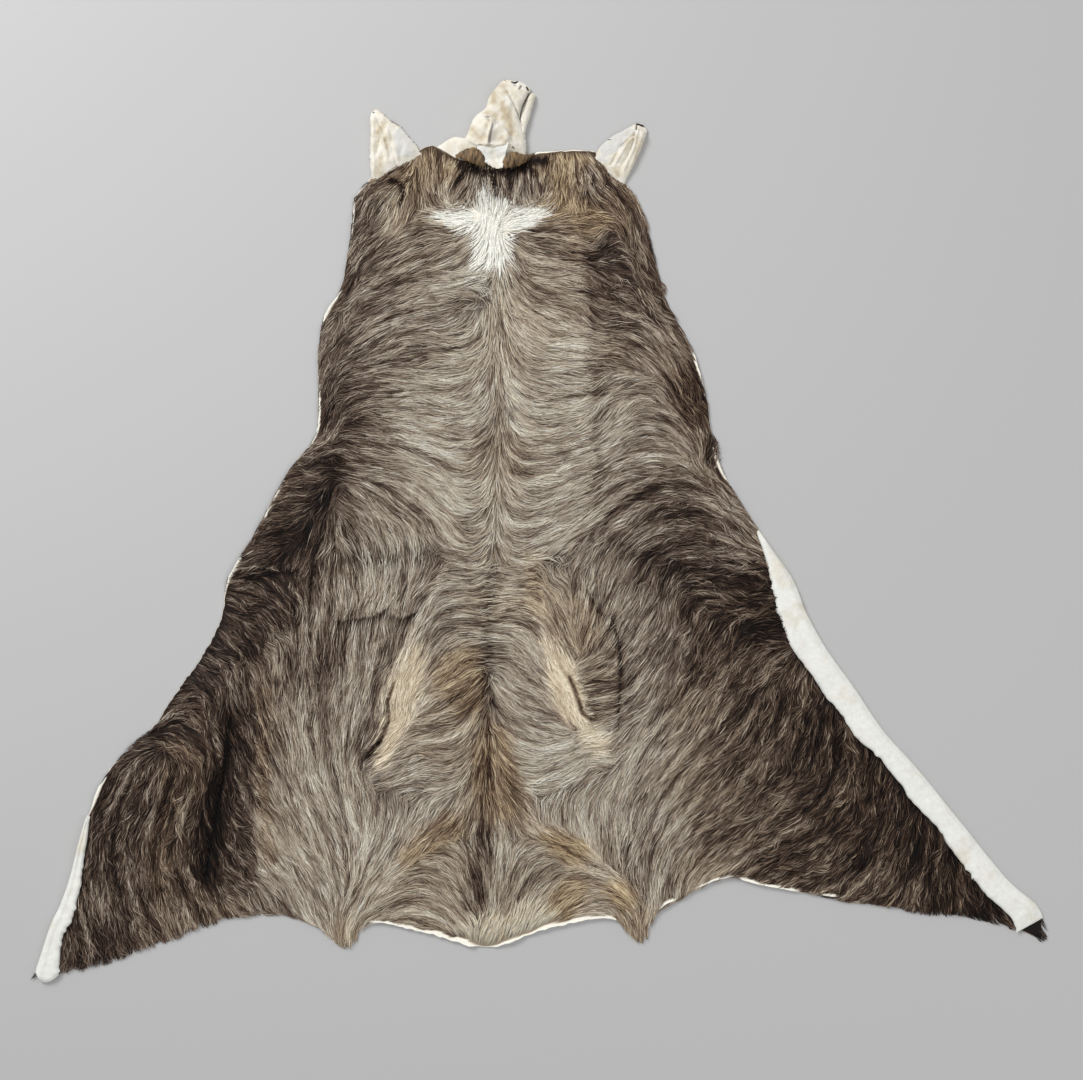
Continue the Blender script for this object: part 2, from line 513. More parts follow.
# Dark lines, where the hair dips into a crease or a hollow, and lit ridges with a minus: path,
# half width and how much darker
Crease = namedtuple("Crease", "place path width dark")
LEFT_PIT_FLANK = [(-212, -172), (-239, -218), (-258, -253), (-268, -282), (-263, -302)]
RIGHT_PIT_FLANK = [(22, -128), (50, -182), (64, -212), (84, -245), (96, -270), (92, -294)]
LEFT_PIT_LIT = [(-152, -58), (-166, -84), (-192, -130), (-214, -180), (-237, -221)]
RIGHT_PIT_LIT = [(4, -78), (18, -128), (36, -156), (49, -186), (64, -218)]
COLLAR_HOLLOW = [(-58, 595), (-40, 597), (-22, 604), (-8, 613), (12, 614)]
CREASES = [
    Crease("left armpit, flank side", LEFT_PIT_FLANK, 5, 12),
    Crease("left armpit crease", LEFT_PIT_CREASE, 2.6, 45),
    Crease("right armpit, flank side", RIGHT_PIT_FLANK, 5, 12),
    Crease("right armpit cleft", RIGHT_PIT_CLEFT, 3, 45),
    Crease("right armpit nick", RIGHT_PIT_NICK, 2, 35),
    Crease("right armpit tuck", [(x + 3, y) for x, y in RIGHT_TUCK], 2.4, 22),
    Crease("left armpit, lit edge", LEFT_PIT_LIT, 5, -12),
    Crease("right armpit, lit edge", RIGHT_PIT_LIT, 5, -12),
    Crease("long tuck", [(x + 4, y) for x, y in LONG_TUCK], 3.5, 12),
    Crease("left cross tuck", [(-332, -146), (-305, -144), (-265, -138), (-250, -126)], 2.4, 34),
    Crease("left cross tuck, inner end", [(-243, -134), (-227, -142), (-199, -133)], 2.2, 30),
    Crease("left flank pleat, dark side", [(-270, -150), (-270, -200), (-266, -285)], 6, 12),
    Crease("left flank pleat, dark back", [(-318, -155), (-322, -220), (-318, -300)], 7, 12),
    Crease("left flank pleat, lit side", [(-300, -155), (-302, -220), (-298, -300)], 6, -9),
    Crease("parting", [(-62, 385), (-65, 140), (-70, 20)], 3.5, 8),
    Crease("breast bone", [(-78, -190), (-83, -240), (-83, -340), (-86, -430)], 9, 13),
    Crease("between the fans", [(-86, -430), (-95, -520), (-98, -620)], 5, 8),
    Crease("hollow under the collar, left", [(-126, 607), (-108, 602), (-90, 596), (-74, 594)], 5.5, 42),
    Crease("hollow under the collar, right", COLLAR_HOLLOW, 5.5, 42),
    Crease("throat pleat 1", [(-72, 592), (-72, 576)], 4, 30),
    Crease("throat pleat 2", [(-116, 600), (-132, 580)], 6, 22),
    Crease("throat pleat 3", [(-14, 604), (-2, 592)], 5, 28),
    Crease("throat pleat 4", [(-50, 593), (-45, 574)], 4, 20),
    Crease("left roll, curl", [(-240, 580), (-224, 574), (-220, 560), (-228, 542)], 3.2, 40),
    Crease("right roll, curl", [(70, 592), (80, 600), (92, 588), (88, 570)], 4, 14),
    Crease("under the mane", [(-326, 154), (-336, 90), (-346, 20), (-362, -40)], 5, 12),
    Crease("mane, parting", [(-395, -62), (-440, -66), (-480, -76)], 5, 16),
    Crease("mane, foot", [(-455, -196), (-490, -206), (-525, -224)], 5, 12),
    Crease("trough, upper", [(-505, -300), (-520, -400), (-532, -480), (-548, -560)], 8, 14),
]

# Marks with a firm border, each a row of tapered strokes: white throat, its whorl, cream armpits
Stroke = namedtuple("Stroke", "x0 y0 x1 y1 r0 r1")
WHITE = [
    Stroke(-166, 521, -142, 519, 7, 14),
    Stroke(-142, 519, -110, 517, 14, 24),
    Stroke(-110, 517, -78, 515, 24, 31),
    Stroke(-78, 515, -40, 514, 31, 23),
    Stroke(-40, 514, 16, 528, 21, 7),
    Stroke(-88, 566, -84, 530, 6, 24),
    Stroke(-102, 534, -58, 538, 14, 15),
    Stroke(-74, 512, -76, 470, 40, 33),
    Stroke(-92, 452, -64, 452, 18, 20),
]
WHORL = [Stroke(-98, 408, -84, 398, 8, 9)]
CREAM = [
    Stroke(-198, -188, -203, -215, 13, 24),
    Stroke(-203, -215, -221, -250, 24, 28),
    Stroke(-221, -250, -230, -300, 28, 24),
    Stroke(-230, -300, -243, -340, 24, 18),
    Stroke(-243, -340, -258, -372, 18, 15),
    Stroke(12, -178, 27, -200, 10, 19),
    Stroke(27, -200, 38, -230, 19, 27),
    Stroke(38, -230, 50, -262, 27, 31),
    Stroke(50, -262, 58, -292, 31, 23),
    Stroke(58, -292, 80, -322, 21, 17),
    Stroke(80, -326, 102, -346, 15, 19),
]


def inside_strokes(strokes, x, y):
    """How far inside a set of tapered strokes each place is, in millimetres."""
    deepest = np.full_like(x, -1e9)
    for row in strokes:
        t, off_x, off_y = off_line(x, y, (row.x0, row.y0), (row.x1, row.y1))
        deepest = np.maximum(deepest, row.r0 + (row.r1 - row.r0) * t - np.hypot(off_x, off_y))
    return deepest


crease_dark = np.zeros(field_x.shape)
for row in CREASES:
    for (ax, ay), (bx, by) in zip(row.path, row.path[1:]):
        gap = -inside_strokes([Stroke(ax, ay, bx, by, 0, 0)], field_x, field_y)
        dark = row.dark / 100 * np.exp(-((gap / row.width) ** 2))
        crease_dark = np.where(np.abs(dark) > np.abs(crease_dark), dark, crease_dark)

# Cut edges where a rim of bare white skin curls up past the coat: places, reach and width
Bare = namedtuple("Bare", "across along reach width")
BARE_RIM = [
    Bare(-255, -645, 16, 7),
    Bare(-215, -655, 22, 5),
    Bare(-165, -662, 20, 7),
    Bare(-125, -676, 14, 10),
    Bare(-40, -672, 22, 5),
    Bare(20, -650, 25, 6),
    Bare(75, -640, 25, 7),
    Bare(112, -636, 12, 9),
    Bare(215, -612, 14, 6),
    Bare(285, -580, 22, 8),
    Bare(318, -567, 12, 9),
    Bare(365, -576, 22, 10),
    Bare(410, -586, 14, 8),
    Bare(480, -592, 18, 4),
    Bare(-358, 200, 50, 3),
    Bare(-340, 375, 25, 4),
    Bare(-306, 520, 40, 3),
    Bare(-440, 55, 40, 4),
    Bare(-505, -60, 22, 6),
    Bare(-725, -430, 25, 4),
    Bare(262, 280, 35, 3),
    Bare(10, 630, 12, 1.8),
    Bare(50, 627, 22, 1.2),
    Bare(300, 110, 20, 3),
]


def nearness(row):
    """1 at a row's place on the grid, fading to 0 over its reach."""
    gap = (field_x - row.across) ** 2 + (field_y - row.along) ** 2
    return np.exp(-gap / (2 * row.reach**2))


bare = np.zeros(field_x.shape)
for row in BARE_RIM:
    bare = np.maximum(bare, row.width * nearness(row))


def linear(red, green, blue):
    """A colour given in display values of 0 to 255, as the linear values that a shader takes."""
    parts = []
    for part in (red, green, blue):
        part = part / 255
        parts.append(part / 12.92 if part <= 0.04045 else ((part + 0.055) / 1.055) ** 2.4)
    return (*parts, 1.0)


def ramp(nodes, links, value, stops):
    """Colours along a value. Each stop is a place from 0 to 1 and a colour in display values."""
    made = nodes.new("ShaderNodeValToRGB")
    elements = made.color_ramp.elements
    while len(elements) < len(stops):
        elements.new(0.5)
    for element, (position, colour) in zip(elements, stops):
        element.position = position
        element.color = linear(*colour)
    links.new(value, made.inputs["Fac"])
    return made.outputs["Color"]


def multiplied(nodes, links, colour, by, share):
    """A colour times another, by a share that is a number or another node's output."""
    made = nodes.new("ShaderNodeMix")
    made.data_type = "RGBA"
    made.blend_type = "MULTIPLY"
    links.new(colour, made.inputs["A"])
    for value, socket in ((by, made.inputs["B"]), (share, made.inputs["Factor"])):
        if isinstance(value, bpy.types.NodeSocket):
            links.new(value, socket)
        else:
            socket.default_value = value
    return made.outputs["Result"]


def spread_value(nodes, links, value, low, high, lowest=0.0, highest=1.0):
    """A value stretched from lowest and highest to low and high."""
    made = nodes.new("ShaderNodeMapRange")
    made.inputs["From Min"].default_value = lowest
    made.inputs["From Max"].default_value = highest
    made.inputs["To Min"].default_value = low
    made.inputs["To Max"].default_value = high
    links.new(value, made.inputs["Value"])
    return made.outputs["Result"]


# Fine grain, which skin, hair and collar share, each at its own scale: fibre, pores or hair tips
grain_group = bpy.data.node_groups.new("fine_grain", "ShaderNodeTree")
for socket_name, kind in (
    ("Vector", "NodeSocketVector"), ("Scale", "NodeSocketFloat"), ("Detail", "NodeSocketFloat"),
    ("Roughness", "NodeSocketFloat"), ("Strength", "NodeSocketFloat"), ("Distance", "NodeSocketFloat"),
):
    grain_group.interface.new_socket(name=socket_name, in_out="INPUT", socket_type=kind)
grain_group.interface.new_socket(name="Grain", in_out="OUTPUT", socket_type="NodeSocketFloat")
grain_group.interface.new_socket(name="Normal", in_out="OUTPUT", socket_type="NodeSocketVector")
given = grain_group.nodes.new("NodeGroupInput")
put_out = grain_group.nodes.new("NodeGroupOutput")
noise = grain_group.nodes.new("ShaderNodeTexNoise")
bump = grain_group.nodes.new("ShaderNodeBump")
for socket_name in ("Vector", "Scale", "Detail", "Roughness"):
    grain_group.links.new(given.outputs[socket_name], noise.inputs[socket_name])
for socket_name in ("Strength", "Distance"):
    grain_group.links.new(given.outputs[socket_name], bump.inputs[socket_name])
grain_group.links.new(noise.outputs["Fac"], bump.inputs["Height"])
grain_group.links.new(noise.outputs["Fac"], put_out.inputs["Grain"])
grain_group.links.new(bump.outputs["Normal"], put_out.inputs["Normal"])


def fine_grain(nodes, links, shader, vector, scale, detail, roughness, strength, distance):
    """Puts the grain on a shader's normal, and returns its value for the colour."""
    made = nodes.new("ShaderNodeGroup")
    made.node_tree = grain_group
    links.new(vector, made.inputs["Vector"])
    made.inputs["Scale"].default_value = scale
    made.inputs["Detail"].default_value = detail
    made.inputs["Roughness"].default_value = roughness
    made.inputs["Strength"].default_value = strength
    made.inputs["Distance"].default_value = distance
    links.new(made.outputs["Normal"], shader.inputs["Normal"])
    return made.outputs["Grain"]


COAT_TONES = (
    (0.00, (8, 5, 3)), (0.12, (27, 16, 11)), (0.25, (64, 47, 38)), (0.38, (113, 95, 83)),
    (0.50, (162, 147, 132)), (0.62, (198, 186, 171)), (0.75, (226, 218, 202)), (0.88, (243, 241, 230)),
    (1.00, (254, 254, 248)),
)
GOLDEN_TINT = (1.0, 0.85, 0.62, 1.0)


def coat_finish(name, grain, bump_depth):
    """Colours from the coat attribute: lightness in red, warmth in green, share of the hair in blue."""
    made, nodes, links, shader = new_material(name, 0.6, 0.18)
    coat_marks = nodes.new("ShaderNodeAttribute")
    coat_marks.attribute_name = "coat"
    parts = nodes.new("ShaderNodeSeparateColor")
    links.new(coat_marks.outputs["Color"], parts.inputs["Color"])
    shade = ramp(nodes, links, parts.outputs["Red"], COAT_TONES)
    golden = multiplied(nodes, links, shade, GOLDEN_TINT, parts.outputs["Green"])
    root_to_tip = spread_value(nodes, links, parts.outputs["Blue"], 0.42, 1.20)
    ends = multiplied(nodes, links, golden, root_to_tip, 1.0)
    place = nodes.new("ShaderNodeTexCoord")
    fleck = fine_grain(nodes, links, shader, place.outputs["Object"], grain, 3.0, 0.5, 0.4, bump_depth)
    uneven = spread_value(nodes, links, fleck, 0.84, 1.12, 0.3, 0.7)
    links.new(multiplied(nodes, links, ends, uneven, 1.0), shader.inputs["Base Color"])
    return made


def give_coat_colour(made, tone, heat, share):
    """Writes lightness, warmth and share of the hair on each point of a mesh."""
    colour = np.ones((*tone.shape, 4), dtype=np.float32)
    colour[..., 0] = np.clip(tone, 0.01, 0.99)
    colour[..., 1] = np.clip(heat, 0.0, 1.0)
    colour[..., 2] = np.clip(share, 0.0, 1.0)
    layer_of = made.data.color_attributes.new("coat", "FLOAT_COLOR", "POINT")
    layer_of.data.foreach_set("color", colour.ravel())


# Bare flesh side: matt and chalky, faintly blotched, with a fine fibre grain
chalk, nodes, links, shader = new_material("flesh_chalky", 0.88, 0.25)
place = nodes.new("ShaderNodeTexCoord")
blotch = nodes.new("ShaderNodeTexNoise")
blotch.inputs["Scale"].default_value = 22.0
blotch.inputs["Detail"].default_value = 6.0
blotch.inputs["Distortion"].default_value = 0.6
links.new(place.outputs["Object"], blotch.inputs["Vector"])
blotched = ramp(nodes, links, blotch.outputs["Fac"], ((0.52, (240, 240, 234)), (0.72, (228, 221, 202))))
fibre = fine_grain(nodes, links, shader, place.outputs["Object"], 160.0, 8.0, 0.65, 0.5, 0.0006)
lift = nodes.new("ShaderNodeBrightContrast")
lift.inputs["Bright"].default_value = 0.10
links.new(multiplied(nodes, links, blotched, fibre, 0.35), lift.inputs["Color"])
links.new(lift.outputs["Color"], shader.inputs["Base Color"])


def patch(edges, u, v):
    """Places at shares u and v of a panel between its tail, head, left and right edges."""
    tail, head, left, right = edges
    u, v = np.asarray(u)[..., None], np.asarray(v)[..., None]
    at_tail, at_head = curve_through(tail, u[..., 0]), curve_through(head, u[..., 0])
    at_left, at_right = curve_through(left, v[..., 0]), curve_through(right, v[..., 0])
    c00, c10 = curve_through(tail, [0.0])[0], curve_through(tail, [1.0])[0]
    c01, c11 = curve_through(head, [0.0])[0], curve_through(head, [1.0])[0]
    corners = c00 * (1 - u) * (1 - v) + c10 * u * (1 - v) + c01 * (1 - u) * v + c11 * u * v
    return at_tail * (1 - v) + at_head * v + at_left * (1 - u) + at_right * u - corners


def warped_grid(name, places, finishes, tube=False):
    """A grid drawn over rows of places in millimetres. A tube closes on itself and at its ends."""
    rows, columns, _ = places.shape
    bm = bmesh.new()
    bmesh.ops.create_grid(bm, x_segments=columns - 1, y_segments=rows - 1, size=1.0)
    for vert, place in zip(bm.verts, places.reshape(-1, 3) * MM):
        vert.co = place
    if tube:
        bmesh.ops.remove_doubles(bm, verts=bm.verts, dist=0.01 * MM)
        bmesh.ops.holes_fill(bm, edges=[edge for edge in bm.edges if edge.is_boundary], sides=0)
        bmesh.ops.recalc_face_normals(bm, faces=bm.faces)
    return object_from(bm, name, finishes)


def give_thickness(made, thickness, offset):
    """Makes a sheet solid to one side of its surface."""
    solid = made.modifiers.new("thickness", "SOLIDIFY")
    solid.thickness = thickness * MM
    solid.offset = offset
    return solid


# Rows and columns of the skin's grid: even, but closer at the rim and across the armpits
MIDDLE_U, MIDDLE_V = 0.46, 0.31
CLEAR = 0.004
shares = np.linspace(0, 1, 2001)
middle_row = patch(HIDE_EDGES, shares, np.full(len(shares), MIDDLE_V))[:, 0]
middle_column = patch(HIDE_EDGES, np.full(len(shares), MIDDLE_U), shares)[:, 1]
near_edge = np.array([0.0, 1.5, 3.0, 4.5, 6.5, 9.0, 12.0]) / 1400
armpit_u = np.interp(np.arange(-295, 146, 4.0), middle_row, shares)
armpit_v = np.interp(np.arange(-385, -85, 4.0), middle_column, shares)


def grid_steps(count, armpit):
    """Shares of the way over the skin: even ones, replaced by finer ones across the armpits."""
    even = np.linspace(0.012, 0.988, count)
    even = even[(even < armpit[0] - CLEAR) | (even > armpit[-1] + CLEAR)]
    return np.sort(np.concatenate([near_edge, 1 - near_edge, even, armpit]))


u, v = np.meshgrid(grid_steps(84, armpit_u), grid_steps(80, armpit_v))
spots = patch(HIDE_EDGES, u, v)
skin_x, skin_y = spots[..., 0], spots[..., 1]
to_rim = np.maximum(at_places(depth, skin_x, skin_y), 0)
nibble = (1.1 * ripple(skin_x, skin_y, 11, 8) + 0.8 * ripple(skin_x, skin_y, 5, 9)) * np.exp(-to_rim / 5)
skin_x = skin_x + nibble * at_places(outward_x, skin_x, skin_y)
skin_y = skin_y + nibble * at_places(outward_y, skin_x, skin_y)
curl = smooth(at_places(bare, skin_x, skin_y) / 5) * np.exp(-((to_rim / 5) ** 2))
skin_z = np.maximum(at_places(skin_top, skin_x, skin_y), 1.9) + 4.5 * curl
roots_finish = coat_finish("hair_roots", 700.0, 0.0008)
skin = warped_grid("cape_skin", np.stack([skin_x, skin_y, skin_z], -1), [roots_finish, chalk])
cream_depth = inside_strokes(CREAM, skin_x, skin_y) + 3 * ripple(skin_x, skin_y, 12, 12)
cream_share = smooth(cream_depth / 9 + 0.4)
white_share = smooth(inside_strokes(WHITE, skin_x, skin_y) / 5 + 0.5)
bare_share = smooth((at_places(bare, skin_x, skin_y) - to_rim) / 1.5 + 0.8)
tone = 0.72 * at_places(light, skin_x, skin_y)
tone = tone * (1 - cream_share) + (0.73 + 0.05 * ripple(skin_x, skin_y, 9, 13)) * cream_share
tone = tone - at_places(crease_dark, skin_x, skin_y)
tone = tone + (0.9 - tone) * np.maximum(0.9 * white_share, bare_share)
heat = at_places(warm, skin_x, skin_y) * (1 - cream_share) + 0.42 * cream_share
heat = heat * (1 - bare_share) + 0.08 * bare_share
share = 0.15 + np.maximum(np.maximum(0.6 * cream_share, 0.7 * white_share), 0.68 * bare_share)
give_coat_colour(skin, tone, heat, share)
solid = give_thickness(skin, SKIN_THICKNESS, -1.0)
solid.material_offset = 1
solid.material_offset_rim = 1
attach(skin, "root")
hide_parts("hide")


# Turned edges: at the lower left and along the right side the skin is folded over on itself, so
# that a strip of its white flesh side lies on the coat. The cut line on the coat is a little ragged
STRIP_THICKNESS = 1.5
STRIP_STATIONS = 200
ROUND_THE_FOLD = [0.06, -0.03, -0.055, -0.03, 0.03]
ON_THE_COAT = np.linspace(0.1, 1.0, 10)
NIB_STEP, NIB_CHANCE = 6.0, 0.12
# The turned edges: width of each strip by its share of the way from tail to neck
Hem = namedtuple("Hem", "share width")
RIGHT_HEM = [
    Hem(0.027, 47),
    Hem(0.055, 41),
    Hem(0.104, 38),
    Hem(0.140, 36),
    Hem(0.171, 32),
    Hem(0.202, 36),
    Hem(0.229, 40),
    Hem(0.261, 33),
    Hem(0.284, 30),
    Hem(0.328, 37),
    Hem(0.370, 43),
    Hem(0.453, 43),
    Hem(0.509, 34),
    Hem(0.530, 27),
    Hem(0.551, 14),
    Hem(0.572, 5),
    Hem(0.577, 2),
]
LEFT_HEM = [
    Hem(0.0, 31),
    Hem(0.007, 35),
    Hem(0.025, 32),
    Hem(0.043, 23),
    Hem(0.055, 20),
    Hem(0.073, 25),
    Hem(0.091, 20),
    Hem(0.127, 14),
    Hem(0.162, 10),
    Hem(0.187, 3),
]


def hem_lines(edge, hems, inward, stations):
    """Fold line of a turned strip, the way across it and its width, at even steps."""
    t = np.linspace(0, 1, stations)
    share = hems[0].share + t * (hems[-1].share - hems[0].share)
    width = np.interp(share, [hem.share for hem in hems], [hem.width for hem in hems])
    fold = curve_through(edge, share)
    ahead, behind = np.minimum(share + 0.02, 1), np.maximum(share - 0.02, 0)
    run = curve_through(edge, ahead) - curve_through(edge, behind)
    run /= np.hypot(*run.T)[:, None]
    side = np.stack([-run[:, 1], run[:, 0]], 1) * inward
    return fold, side, width


def turned_strip(name, edge, hems, inward, seed, end_lean, end_round):
    """One turned strip. Its tail end leans by end_lean and bulges by end_round, in millimetres."""
    fold, side, width = hem_lines(edge, hems, inward, STRIP_STATIONS)
    shaken = np.random.default_rng(seed)
    travel = np.concatenate([[0], np.cumsum(np.hypot(*np.diff(fold, axis=0).T))])
    wave = 1.6 * np.sin(travel / 37 + seed) + 1.1 * np.sin(travel / 13 + 2 * seed)
    knots = np.arange(0, travel[-1] + NIB_STEP, NIB_STEP)
    has_nib = shaken.uniform(0, 1, len(knots)) > 1 - NIB_CHANCE
    nibs = np.where(has_nib, shaken.uniform(1.5, 4, len(knots)), 0)
    nibs = np.interp(travel, knots, nibs + shaken.normal(0, 0.6, len(knots)))
    reach = width + (wave + nibs) * smooth(width / 25)
    share = np.concatenate([ROUND_THE_FOLD, ON_THE_COAT])
    share = np.broadcast_to(share, (STRIP_STATIONS, len(share)))
    run = np.gradient(fold, axis=0)
    run /= np.hypot(*run.T)[:, None]
    on_top = np.clip(share, 0, 1)
    lean = -(end_lean * on_top + end_round * 4 * on_top * (1 - on_top))
    lean = lean * np.exp(-travel / 25)[:, None]
    x = fold[:, 0, None] + side[:, 0, None] * reach[:, None] * share + run[:, 0, None] * lean
    y = fold[:, 1, None] + side[:, 1, None] * reach[:, None] * share + run[:, 1, None] * lean
    z = 5.5 + 0.5 * np.clip(at_places(skin_top, x, y) - 4, 0, 20) + 4.0 * smooth(on_top * 4)
    z += 1.2 * ripple(x, y, 45, 31) + 0.5 * ripple(x, y, 14, 32)
    z += 3.0 * np.exp(-((share - 0.16) / 0.14) ** 2)
    z -= 3.2 * smooth((share - 0.82) / 0.18)
    from_end = np.arange(STRIP_STATIONS)
    ends = np.minimum(from_end, from_end[::-1]) / 9
    z = 2.5 + (z - 2.5) * smooth(0.25 + ends)[:, None]
    z[:, 0], z[:, 1], z[:, 2], z[:, 3] = 0.4, 0.9, z[:, 4] * 0.45, z[:, 4] * 0.85
    z[:, 5:] = np.maximum(z[:, 5:], 4.0)
    made = warped_grid(name, np.stack([x, y, z], -1), [chalk])
    give_thickness(made, STRIP_THICKNESS, -1.0 if inward > 0 else 1.0)
    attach(made, "root")
    return made


strips = [
    turned_strip("right_turned_edge", RIGHT_EDGE, RIGHT_HEM, 1, seed=3, end_lean=9, end_round=0),
    turned_strip("left_turned_edge", LEFT_EDGE, LEFT_HEM, -1, seed=4, end_lean=-8, end_round=13),
]


# The coat: hollow hairs 25 to 45 mm long. Each hair is a flat tapered ribbon that follows the comb,
# and neighbours draw together into locks. Light and dark hairs are mixed, paler towards the tips
Layer = namedtuple("Layer", "pieces spacing margin width length lowest highest pale_share")
LAYERS = [
    Layer(("undercoat_left", "undercoat_breast", "undercoat_right"), 3.05, 0.8, 1.4, 31, 1.0, 5.0, 0.12),
    Layer(("guard_hair_left", "guard_hair_right"), 3.45, 1.5, 1.1, 37, 3.2, 7.5, 0.34),
]
STATIONS = 3
ROOTS_ACROSS, ROOTS_ALONG = (-850.0, 860.0), (-760.0, 650.0)
# How far the tips draw together into locks, how far off each hair looks for its side of the comb,
# how much it may turn and roll, and how dark a crease is where hair stops
CLUMPING = 0.5
LOOKS_ASTRAY = 11
STRAY_DEGREES, ROLL_DEGREES = 4.5, 38
HAIR_STOPS = 0.13
KEPT_SHARES = (1.0, 0.85, 0.7, 0.55, 0.4, 0.25)
rng = np.random.default_rng(20)
hair_finish = coat_finish("grizzled_hair", 420.0, 0.0004)

